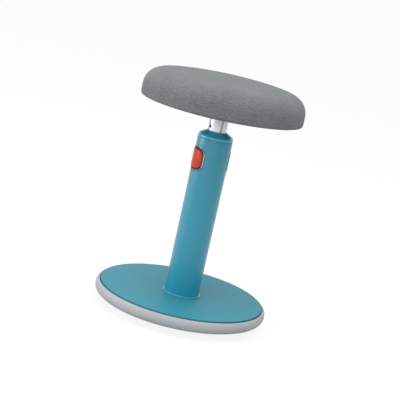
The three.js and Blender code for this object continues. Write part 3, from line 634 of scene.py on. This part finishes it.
# column, its window, button and cap
latchPlan = {
    "angle": math.radians(204.5), "level": 337.07, "coverRise": 2.1,
    "columnRadius": 37.35, "bore": 34.35, "lowBore": 33, "ledge": 297.57, "columnSides": 192,
    "window": (24, 23.75, 13.6), "cutDepth": 25, "cutRadius": 45,
    "surround": (26.6, 26.4, 16), "surroundDepth": 1.9, "surroundFlare": 0.4,
    "surroundTool": 4, "surroundReach": 38, "surroundHalf": 34,
    "lipOutside": (24.9, 24.75, 14.4), "lipWidth": 0.65, "lipProud": -0.05, "lipEdge": 0.3,
    "frame": (23.7, 23.45, 13.3), "frameOpening": (22.9, 19.9, 11.8), "frameEdge": 0.5,
    "frameRadius": 37.8, "frameDepth": 3.45,
    "button": (22.5, 19.5, 11.6), "buttonRadius": 38.9, "buttonBack": 29.2, "buttonEdge": 0.8,
    "cover": (23, 21.8, 12), "coverRadius": 38.4, "coverDepth": 4.05, "coverEdge": 0.35, "coverGap": 0.3,
}


def flatShape(name, size, depth, edge=0):
    # rounded rectangle that faces +X, its front at x = 0, with its front edge rounded
    halfWidth, halfHeight, corner = size
    piece = addShape(name, bpy.ops.mesh.primitive_plane_add, size=2 * mm, rotation=(0, math.radians(90), 0))
    editAll(piece)
    bpy.ops.transform.resize(value=(1, halfWidth, halfHeight), center_override=(0, 0, 0))
    bpy.ops.mesh.bevel(affect="VERTICES", offset=corner * mm, segments=10)
    selectEverything()
    bpy.ops.mesh.extrude_region_move(TRANSFORM_OT_translate={"value": (-depth * mm, 0, 0)})
    faceOutwards()
    if edge:
        pickCorners(lambda place: place.x > -0.001)
        bpy.ops.mesh.bevel(affect="EDGES", offset=edge * mm, segments=roundSteps)
    leaveEdit()
    return piece


def sliceAcross(piece, reach=30):
    # upright cuts 1.6 mm apart, off the shape's own corners, so that it can follow the column
    workOn(piece)
    for place in np.arange(-reach + 0.37, reach, 1.6):
        selectEverything()
        bpy.ops.mesh.bisect(plane_co=(0, place * mm, 0), plane_no=(0, 1, 0))
    leaveEdit()


def pressOnColumn(piece, radius, opposite=False, backKept=-math.inf):
    # pushes the shape on to a cylinder of this radius; what lies behind backKept stays flat
    places = cornersOf(piece)
    curved = np.sqrt((radius * mm) ** 2 - places[:, 1] ** 2)
    places[:, 0] += np.where(places[:, 0] < backKept * mm, radius * mm, curved)
    places[:, 2] += (latchPlan["level"] + latchPlan["coverRise"] * opposite) * mm
    setCorners(piece, places)
    turnAbout(piece, latchPlan["angle"] + math.pi * opposite)


def makeColumn(plan):
    low, high = levels("outer_column")
    points = [(plan["lowBore"], low), (plan["columnRadius"], low, 0.3), (plan["columnRadius"], high, 0.9),
              (plan["bore"], high, 0.3), (plan["bore"], plan["ledge"]), (plan["lowBore"], plan["ledge"])]
    piece = turnedPiece("columnTube", points, plan["columnSides"])
    window = flatShape("windowCutter", plan["window"], plan["cutDepth"])
    pressOnColumn(window, plan["cutRadius"], backKept=math.inf)
    tool = plan["surroundTool"]
    shallow = flatShape("surroundCutter", plan["surround"], tool)
    workOn(shallow)
    pickCorners(lambda place: place.x > -0.001)
    grown = 1 + tool * plan["surroundFlare"] / plan["surround"][0]
    bpy.ops.transform.resize(value=(1, grown, grown), center_override=(0, 0, 0))
    leaveEdit()
    sliceAcross(shallow, plan["surroundReach"])
    floor = plan["columnRadius"] - plan["surroundDepth"]
    places = cornersOf(shallow)
    aside = np.minimum(np.abs(places[:, 1]), plan["surroundHalf"] * mm)
    places[:, 0] += tool * mm + np.sqrt((floor * mm) ** 2 - aside ** 2)
    places[:, 2] += plan["level"] * mm
    setCorners(shallow, places)
    turnAbout(shallow, plan["angle"])
    coverHole = tuple(size + plan["coverGap"] for size in plan["cover"])
    coverWindow = flatShape("coverCutter", coverHole, plan["cutDepth"])
    pressOnColumn(coverWindow, plan["cutRadius"], opposite=True, backKept=math.inf)
    for cutter in (shallow, window, coverWindow):
        carve(piece, cutter)
    dress(piece, "teal_plastic", "root", "outer_column")


def openFrame(name, outside, inside, depth, edge):
    # flat frame with its opening, cut across so that it can bend
    piece = flatShape(name, outside, depth, edge)
    opening = flatShape("openingCutter", inside, 20)
    moveMesh(opening, (10 * mm, 0, 0))
    carve(piece, opening)
    sliceAcross(piece)
    return piece


def makeWindowLip(plan):
    # thin pale trim ring round the window, inside the shallow surround
    floor = plan["columnRadius"] - plan["surroundDepth"]
    top = plan["columnRadius"] + plan["lipProud"]
    inside = tuple(size - plan["lipWidth"] for size in plan["lipOutside"])
    piece = openFrame("windowLip", plan["lipOutside"], inside, top - floor, plan["lipEdge"])
    pressOnColumn(piece, top)
    dress(piece, "satin_aluminium", "root", finish=trimSteel, degrees=40)


def makeButtonFrame(plan):
    piece = openFrame("buttonFrame", plan["frame"], plan["frameOpening"],
                      plan["frameDepth"], plan["frameEdge"])
    pressOnColumn(piece, plan["frameRadius"])
    dress(piece, "black_plastic", "root", "button_bezel")


def makeButton(plan):
    depth = plan["buttonRadius"] - plan["buttonBack"]
    piece = flatShape("pushButton", plan["button"], depth, plan["buttonEdge"])
    sliceAcross(piece)
    pressOnColumn(piece, plan["buttonRadius"], backKept=-depth / 2)
    dress(piece, "red_plastic", "release", "release_button")


def makeLatchCover(plan):
    piece = flatShape("latchCover", plan["cover"], plan["coverDepth"], plan["coverEdge"])
    sliceAcross(piece)
    pressOnColumn(piece, plan["coverRadius"], opposite=True)
    dress(piece, "teal_plastic", "root", "latch_cover")


springPlan = {"radius": 3.2, "wire": 0.35, "turns": 4, "sides": 12, "steps": 32, "travel": 4.5}


def makeReturnSpring(plan):
    # wound wire between yoke and column, which shortens as the button goes in
    across = latchPlan["angle"] + math.pi
    along = Vector((math.cos(across), math.sin(across), 0))
    reach = cornersOf(frame["nodes"]["return_spring"]) @ np.array(along) / mm
    start, end = reach.min() + plan["wire"], reach.max() - plan["wire"]
    piece = addShape("returnSpring", bpy.ops.mesh.primitive_circle_add, vertices=plan["sides"],
                     radius=plan["wire"] * mm, fill_type="NGON",
                     location=(plan["radius"] * mm, 0, 0), rotation=(math.radians(90), 0, 0))
    shapeWith(piece, "SCREW", axis="Z", angle=math.tau, iterations=plan["turns"],
              screw_offset=(end - start) / plan["turns"] * mm,
              steps=plan["steps"], render_steps=plan["steps"])
    workOn(piece)
    faceOutwards()
    leaveEdit()
    places = cornersOf(piece)[:, [2, 0, 1]]    # the coil's axis, from Z to X
    places[:, 0] += start * mm
    places[:, 2] += latchPlan["level"] * mm
    setCorners(piece, places)
    turnAbout(piece, across)
    dress(piece, "zinc_steel", "root", "return_spring", degrees=50)
    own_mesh(piece)


capPlan = {
    "radius": 37.35, "skirtRadius": 34.05, "skirtWall": 2.5, "seam": 383.47, "edgeHeight": 1.5,
    "fillet": 8.8, "coneTopRadius": 22, "rise": 15, "lipRise": 0.8, "lipThickness": 3.4,
    "bore": 19.9, "guideRadius": 25.2, "shelf": 7,
}


def makeCap(plan):
    low = levels("column_cap")[0]
    coneTop = plan["seam"] + plan["rise"]
    lipTop = coneTop + plan["lipRise"]
    lipUnder = lipTop - plan["lipThickness"]
    inner = plan["skirtRadius"] - plan["skirtWall"]
    centre = (plan["radius"] - plan["fillet"], plan["seam"] + plan["edgeHeight"])
    away = math.hypot(plan["coneTopRadius"] - centre[0], coneTop - centre[1])
    tangent = math.atan2(coneTop - centre[1], plan["coneTopRadius"] - centre[0])
    tangent -= math.acos(plan["fillet"] / away)
    points = [(inner, low), (plan["skirtRadius"], low, 0.4), (plan["skirtRadius"], plan["seam"]),
              (plan["radius"], plan["seam"], 0.5), *arcPoints(centre, plan["fillet"], 0, tangent, 14),
              (plan["coneTopRadius"], coneTop, 0.8), (plan["bore"] + 0.9, lipTop, 0.4),
              (plan["bore"], lipTop - 0.7), (plan["bore"], lipUnder), (plan["guideRadius"], lipUnder),
              (plan["guideRadius"], lipUnder - plan["shelf"]), (inner, plan["seam"])]
    piece = turnedPiece("columnCap", points)
    # the cap's finish is painted lighter, painted light against the cushion's shadow
    dress(piece, "teal_plastic", "root", "column_cap", finish=tealPaintedLighterCap)


makeColumn(latchPlan)
makeWindowLip(latchPlan)
makeButtonFrame(latchPlan)
makeButton(latchPlan)
makeLatchCover(latchPlan)
makeReturnSpring(springPlan)
makeCap(capPlan)
print("column, button and cap made")


# sliding tube and swivel
tubePlan = {
    "radius": 19.4, "wall": 3.5, "grooves": 4, "grooveWidth": 3.6, "grooveDepth": 1.4,
    "holePitch": 23.5, "holes": 12, "holesAbove": 3, "toolDepth": 6, "drillLength": 24, "drillMiddle": 20,
}
holeRows = [    # the tooth's row in the far groove, and the one that shows beside the near groove
    {"turn": math.pi, "radius": 3, "rise": 0},
    {"turn": math.radians(12), "radius": 3.4, "rise": 0.8},
]


def makeSlidingTube(plan):
    low, high = levels("inner_tube")
    inner = plan["radius"] - plan["wall"]
    points = [(inner, low), (plan["radius"], low, 0.4), (plan["radius"], high, 0.4), (inner, high)]
    piece = turnedPiece("slidingTube", points)
    deep = plan["toolDepth"]
    for number in range(plan["grooves"]):
        groove = flatShape("grooveCutter", (plan["grooveWidth"] / 2, (high - low) / 2 + deep, 0.3), deep)
        moveMesh(groove, Vector((plan["radius"] - plan["grooveDepth"] + deep, 0, (low + high) / 2)) * mm)
        turnAbout(groove, latchPlan["angle"] + number * math.tau / plan["grooves"])
        carve(piece, groove)
    for row in holeRows:
        bars = []
        for number in range(plan["holes"]):
            level = latchPlan["level"] + row["rise"] + (plan["holesAbove"] - number) * plan["holePitch"]
            middle = (plan["drillMiddle"] * mm, 0, level * mm)
            bars.append(addRod(row["radius"], plan["drillLength"], middle, turn=(0, math.radians(90), 0)))
        cutter = joinAll(bars)
        turnAbout(cutter, latchPlan["angle"] + row["turn"])
        carve(piece, cutter)
    dress(piece, "satin_aluminium", "lift", "inner_tube", finish=tubeAluminium)
    # the walls of the holes take a painted near-black shade
    piece.data.materials.append(holeWallPaintedShade)    # the walls of the holes
    for row in holeRows:
        turn = latchPlan["angle"] + row["turn"]
        along = Vector((math.cos(turn), math.sin(turn), 0))
        for face in piece.data.polygons:
            out = along.dot(face.center)
            aside = face.center - along * out
            nearest = (aside.z / mm - latchPlan["level"] - row["rise"]) / plan["holePitch"]
            rise = (nearest - round(nearest)) * plan["holePitch"]
            flat = out > 0 and abs(face.normal.dot(along)) < 0.3
            if flat and math.hypot(math.hypot(aside.x, aside.y) / mm, rise) < row["radius"] + 0.1:
                face.material_index = 1


swivelPlan = {"bore": 8.3, "hubRadius": 25, "hubNeck": 5, "hubFlange": 40, "plugRadius": 15.6,
              "flangeRadius": 19.1, "postRadius": 8, "washerRadius": 19.4, "gap": 0.3, "sides": 96}


def makeSwivel(plan):
    bore = plan["bore"]
    low, high = levels("swivel_hub")
    neck = low + plan["hubNeck"]
    hub = turnedPiece("swivelHub", [
        (bore, low, 0.5), (plan["hubRadius"], low, 1), (plan["hubRadius"], neck, 1.5),
        (plan["hubFlange"], high - 0.4), (plan["hubFlange"], high), (bore, high),
    ], plan["sides"])
    dress(hub, "satin_aluminium", "seat", "swivel_hub")
    low, high = levels("thrust_washer")
    washer = turnedPiece("thrustWasher", [
        (bore, low), (plan["washerRadius"], low, 0.2),
        (plan["washerRadius"], high, 0.2), (bore, high),
    ], plan["sides"])
    dress(washer, "white_nylon", "lift", "thrust_washer")
    low, high = levels("swivel_spindle")
    flangeTop = levels("thrust_washer")[0] - plan["gap"]
    flangeLow = levels("inner_tube")[1] + plan["gap"]
    spindle = turnedPiece("swivelSpindle", [
        (0, low), (plan["plugRadius"], low, 1), (plan["plugRadius"], flangeLow),
        (plan["flangeRadius"], flangeLow, 0.4), (plan["flangeRadius"], flangeTop, 0.4),
        (plan["postRadius"], flangeTop), (plan["postRadius"], high, 0.8), (0, high),
    ], plan["sides"], closed=False)
    dress(spindle, "satin_aluminium", "lift", "swivel_spindle")


makeSlidingTube(tubePlan)
makeSwivel(swivelPlan)
print("tube and swivel made")


# cushion
cushionPlan = {
    "radius": 172, "edgeFillet": 6, "sideHeight": 17.8, "topHeight": 62.1, "flatRadius": 101.7, "crown": 3,
    "roundPower": 2 / 3.187, "risePower": 2 / 2.111, "sides": 128,
    "startShoulder": 0.8, "startFillet": 2,
    "voxel": 4, "pressure": 0.3, "frames": 20, "cap": 2.8, "stillHeight": 6,
    "pocketRadius": 165.9, "pocketLow": 448.47, "pocketHigh": 459.07, "hemRadius": 148, "hemDepth": 20,
    "puckers": 72, "puckerDepth": 0.5, "puckerInset": 5, "puckerRun": 8, "puckerHeight": 4,
}


def cushionSection(plan, slack=False):
    # half of the cushion's outline, from the middle of its top to the middle of its underside;
    # a slack one is flat on top and fuller at the shoulder, which the cloth step draws in
    bottom = levels("seat_cover")[0]
    sideTop = bottom + plan["sideHeight"]
    width = plan["radius"] - plan["flatRadius"]
    rise = plan["topHeight"] - plan["sideHeight"]
    crown = 0 if slack else plan["crown"]
    points = []
    for share in np.linspace(0, 1, 14)[:-1]:
        points.append((plan["flatRadius"] * share, sideTop + rise + crown * math.cos(share * math.pi / 2)))
    for turn in np.linspace(math.pi / 2, 0, 30):
        fuller = plan["startShoulder"] * math.sin(2 * turn) if slack else 0
        points.append((
            plan["flatRadius"] + width * max(math.cos(turn), 0) ** plan["roundPower"] + fuller,
            sideTop + rise * math.sin(turn) ** plan["risePower"] + fuller / 2,
        ))
    fillet = plan["startFillet"] if slack else plan["edgeFillet"]
    points += arcPoints((plan["radius"] - fillet, bottom + fillet), fillet, 0, -math.pi / 2, 7)
    points.append((0, bottom))
    return points


def clothDistance(places, outline):
    # how far along the cover each place lies from the middle of the top
    flat = np.stack([np.hypot(places[:, 0], places[:, 1]), places[:, 2]], 1) / mm
    outline = np.array(outline)
    starts, ends = outline[:-1], outline[1:]
    runs = np.linalg.norm(ends - starts, axis=1)
    before = np.concatenate([[0], np.cumsum(runs)[:-1]])
    share = np.einsum("nsk,sk->ns", flat[:, None] - starts, ends - starts) / runs ** 2
    share = np.clip(share, 0, 1)
    near = starts + share[..., None] * (ends - starts)
    closest = np.linalg.norm(flat[:, None] - near, axis=2).argmin(1)
    rows = np.arange(len(flat))
    return (before[closest] + share[rows, closest] * runs[closest]) * mm


def puffUp(piece, plan):
    # remeshed evenly, blown up a little as cloth with its underside held, then limited
    shapeWith(piece, "REMESH", mode="VOXEL", voxel_size=plan["voxel"] * mm)
    start = cornersOf(piece)
    held = piece.vertex_groups.new(name="held")
    bottom = levels("seat_cover")[0]
    still = [int(i) for i in np.flatnonzero(start[:, 2] < (bottom + plan["stillHeight"]) * mm)]
    held.add(still, 1, "REPLACE")
    bpy.ops.object.modifier_add(type="CLOTH")
    cloth = piece.modifiers[-1]
    cloth.settings.quality = 5
    cloth.settings.mass = 0.3
    cloth.settings.use_pressure = True
    cloth.settings.uniform_pressure_force = plan["pressure"]
    cloth.settings.effector_weights.gravity = 0
    cloth.settings.vertex_group_mass = "held"
    cloth.collision_settings.use_collision = False
    for number in range(1, plan["frames"] + 1):
        bpy.context.scene.frame_set(number)
    bpy.ops.object.modifier_apply(modifier=cloth.name)
    bpy.context.scene.frame_set(1)
    piece.vertex_groups.clear()
    moved = cornersOf(piece) - start
    length = np.maximum(np.linalg.norm(moved, axis=1), 1e-9)
    limit = np.minimum(1, plan["cap"] * mm / length)
    setCorners(piece, start + moved * limit[:, None])
    workOn(piece)
    pickCorners(lambda place: place.z > bottom + plan["stillHeight"])
    bpy.ops.mesh.vertices_smooth(factor=0.5, repeat=2)
    leaveEdit()
    shapeWith(piece, "SUBSURF", levels=1, render_levels=1)


def makeCushion(plan):
    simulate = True
    outline = cushionSection(plan)
    piece = turnedPiece("seatCushion", cushionSection(plan, slack=simulate), plan["sides"], closed=False)
    if simulate:
        puffUp(piece, plan)

    # small gathers where the cover turns under, drawn in towards the hem
    places = cornersOf(piece)
    around = np.arctan2(places[:, 1], places[:, 0])
    out = np.hypot(places[:, 0], places[:, 1]) / mm
    bottom = levels("seat_cover")[0]
    turnedUnder = np.clip((plan["radius"] - plan["puckerInset"] - out) / plan["puckerRun"], 0, 1)
    turnedUnder *= places[:, 2] < (bottom + plan["puckerHeight"]) * mm
    places[:, 2] += turnedUnder * (0.5 + 0.5 * np.cos(around * plan["puckers"])) * plan["puckerDepth"] * mm
    setCorners(piece, places)

    # pocket for the pan, and the hem's opening under it
    pocketLow = plan["pocketLow"]
    for radius, low, high in ((plan["pocketRadius"], pocketLow, plan["pocketHigh"]),
                              (plan["hemRadius"], pocketLow - plan["hemDepth"], pocketLow + 1)):
        carve(piece, addRod(radius, high - low, (0, 0, (low + high) / 2 * mm), sides=160))

    # the cover's own coordinates: how far from the middle of the top, and which way
    places = cornersOf(piece)
    far = clothDistance(places, outline)
    around = np.arctan2(places[:, 1], places[:, 0])
    flat = np.stack([far * np.cos(around), far * np.sin(around)], 1)
    layer = piece.data.uv_layers.new(name="knit")
    corners = np.empty(len(piece.data.loops), np.int32)
    piece.data.loops.foreach_get("vertex_index", corners)
    layer.data.foreach_set("uv", flat[corners].ravel())
    dress(piece, "grey_fabric", "seat", "seat_cover", "seat_foam", degrees=50)


makeCushion(cushionPlan)
print("cushion made")


# under cover and screws
underPlan = {
    "hole": 25.5, "hubFlat": 60, "floorRadius": 112, "ledgeInner": 118, "ledgeOuter": 136, "rim": 147.7,
    "wall": 2, "rimDrop": 3.2, "ledgeDrop": 6.7, "floorDrop": 9.6,
}


def makeUnderCover(plan):
    low, top = levels("under_cover")
    wall, rim = plan["wall"], plan["rim"]
    rimLow, ledge, floor = (top - plan[key] for key in ("rimDrop", "ledgeDrop", "floorDrop"))
    points = [
        (plan["hole"], low, 0.6), (plan["hubFlat"], low, 4), (plan["floorRadius"], floor, 1.5),
        (plan["ledgeInner"], ledge, 1.5), (plan["ledgeOuter"], ledge, 2),
        (rim, rimLow, 0.8), (rim, top),
        (rim - wall * 2, top), (rim - wall * 2, rimLow + wall),
        (plan["ledgeOuter"] - wall, ledge + wall), (plan["ledgeInner"] - wall, ledge + wall),
        (plan["floorRadius"] - wall, floor + wall),
        (plan["hubFlat"], low + wall), (plan["hole"], low + wall),
    ]
    piece = turnedPiece("underCover", points)
    dress(piece, "black_plastic", "seat", "under_cover")


screwPlans = [
    {"nodes": "base_screw_", "count": 6, "name": "footScrew", "body": "root",
     "shank": 2, "head": 4, "headHeight": 2.5, "recess": 1.5},
    {"nodes": "under_cover_screw_", "count": 4, "name": "coverScrew", "body": "seat",
     "shank": 2, "head": 4, "headHeight": 2, "recess": 1.3},
]
crossPlan = {"length": 0.55, "halfWidth": 0.38, "taper": (0.45, 0.7, 1), "turn": 0.4, "turnStep": 1.1}


def makeScrews(plan):
    # pan head with a cross recess, modelled once on the axis and copied to each place
    low, high = levels(plan["nodes"] + "1")
    head, seat, tip = plan["head"], low + plan["headHeight"], (0, 0, low * mm)
    model = turnedPiece(plan["name"], [
        (0, low), (head - 0.6, low, 0.5), (head, seat - 0.7, 0.5), (head, seat, 0.15),
        (plan["shank"], seat), (plan["shank"], high - 2), (0.3, high), (0, high),
    ], sides=40, closed=False)
    for turn in (0, math.pi / 2):
        slot = addShape("slotCutter", bpy.ops.mesh.primitive_cube_add, size=2 * mm, location=tip)
        editAll(slot)
        size = (head * crossPlan["length"], crossPlan["halfWidth"], plan["recess"])
        bpy.ops.transform.resize(value=size, center_override=tip)
        pickCorners(lambda place: place.z > low)
        bpy.ops.transform.resize(value=crossPlan["taper"], center_override=tip)
        leaveEdit()
        turnAbout(slot, turn + crossPlan["turn"])
        carve(model, slot)
    for number in range(1, plan["count"] + 1):
        node = f"{plan['nodes']}{number}"
        middle = middleOf(node)
        workOn(model, "OBJECT")
        bpy.ops.object.duplicate(linked=False)
        copy = bpy.context.object
        copy.name = copy.data.name = f"{plan['name']}{number}"
        turnAbout(copy, number * crossPlan["turnStep"])    # no two screws stop alike
        moveMesh(copy, (middle.x, middle.y, 0))
        dress(copy, "zinc_steel", plan["body"], node)
    bpy.data.objects.remove(model)


makeUnderCover(underPlan)
for screwPlan in screwPlans:
    makeScrews(screwPlan)
print("under cover and screws made")


# floor, light and camera
studioPlan = {
    "floorRadius": 50, "floorColour": "b9babb", "whiteShare": 0.87, "worldLight": 0.79,
    "cameraPlace": (0, -2.4492, 0.78367), "lens": 106.8, "sensor": 36,
    "pan": -0.083, "tilt": -12.349, "roll": 12.477,
}
lampPlans = [
    {"name": "overheadBox", "place": (-0.2, -0.5, 2.3), "size": (1.8, 1.8), "power": 28},
    {"name": "leftBox", "place": (-3.4, -0.3, 0.4), "size": (1.2, 1.3), "power": 36},
    {"name": "frontStrip", "place": (-0.8, -3.1, 1.15), "size": (4.5, 0.3), "power": 21},
]


def whiteRay(tree):
    # 1 for rays that see the backdrop straight, in a reflection or through glass
    rays = addNode(tree, "LightPath").outputs
    seen = rays["Is Camera Ray"]
    for kind in ("Is Glossy Ray", "Is Transmission Ray"):
        seen = addNode(tree, "Math", {0: seen, 1: rays[kind]}, operation="MAXIMUM").outputs[0]
    return seen


def makeFloor(plan):
    floor = addShape("paleFloor", bpy.ops.mesh.primitive_circle_add, vertices=96,
                     radius=plan["floorRadius"], fill_type="NGON")
    # seamless paper: white to the eye, keeps a soft shadow
    paper = bpy.data.materials.new("paleStudioPaper")
    paper.use_nodes = True
    tree = paper.node_tree
    tree.nodes.clear()
    lit = addNode(tree, "BsdfDiffuse", {"Color": linearColour(plan["floorColour"])})
    seen = addNode(tree, "BsdfDiffuse", {"Color": (1, 1, 1, 1)})
    glow = addNode(tree, "Emission", {"Color": (1, 1, 1, 1), "Strength": 1})
    white = addNode(tree, "MixShader",
                    {0: plan["whiteShare"], 1: seen.outputs[0], 2: glow.outputs[0]})
    both = addNode(tree, "MixShader", {0: whiteRay(tree), 1: lit.outputs[0], 2: white.outputs[0]})
    addNode(tree, "OutputMaterial", {"Surface": both.outputs[0]})
    floor.data.materials.append(paper)


def makeWorld(plan):
    world = bpy.data.worlds.new("whiteStudio")
    bpy.context.scene.world = world
    world.use_nodes = True
    tree = world.node_tree
    tree.nodes.clear()
    strength = addNode(tree, "MapRange",
                       {"Value": whiteRay(tree), "To Min": plan["worldLight"], "To Max": 1})
    sky = addNode(tree, "Background",
                  {"Color": (1, 1, 1, 1), "Strength": strength.outputs["Result"]})
    addNode(tree, "OutputWorld", {"Surface": sky.outputs[0]})


def makeLamp(plan, target):
    bpy.ops.object.light_add(type="AREA", location=plan["place"])
    lamp = bpy.context.object
    lamp.name = plan["name"]
    lamp.data.shape = "RECTANGLE"
    lamp.data.size, lamp.data.size_y = plan["size"]
    lamp.data.energy = plan["power"]
    lamp.rotation_mode = "QUATERNION"
    lamp.rotation_quaternion = (Vector(target) - Vector(plan["place"])).to_track_quat("-Z", "Y")


def makeCamera(plan):
    pan, tilt, roll = (math.radians(plan[key]) for key in ("pan", "tilt", "roll"))
    forward = Vector((math.sin(pan) * math.cos(tilt), math.cos(pan) * math.cos(tilt), math.sin(tilt)))
    level = Vector((math.cos(pan), -math.sin(pan), 0))
    upright = level.cross(forward)
    right = math.cos(roll) * level + math.sin(roll) * upright
    above = -math.sin(roll) * level + math.cos(roll) * upright
    bpy.ops.object.camera_add(location=plan["cameraPlace"])
    camera = bpy.context.object
    turn = Matrix((right, above, -forward)).transposed()
    camera.rotation_euler = turn.to_euler()
    camera.data.lens = plan["lens"]
    camera.data.sensor_width = plan["sensor"]
    bpy.context.scene.camera = camera


deselectAll()
makeFloor(studioPlan)
makeWorld(studioPlan)
for lampPlan in lampPlans:
    makeLamp(lampPlan, (0, 0, 0.25))
makeCamera(studioPlan)
bpy.context.scene.view_settings.view_transform = "Standard"
print("floor, light and camera made")
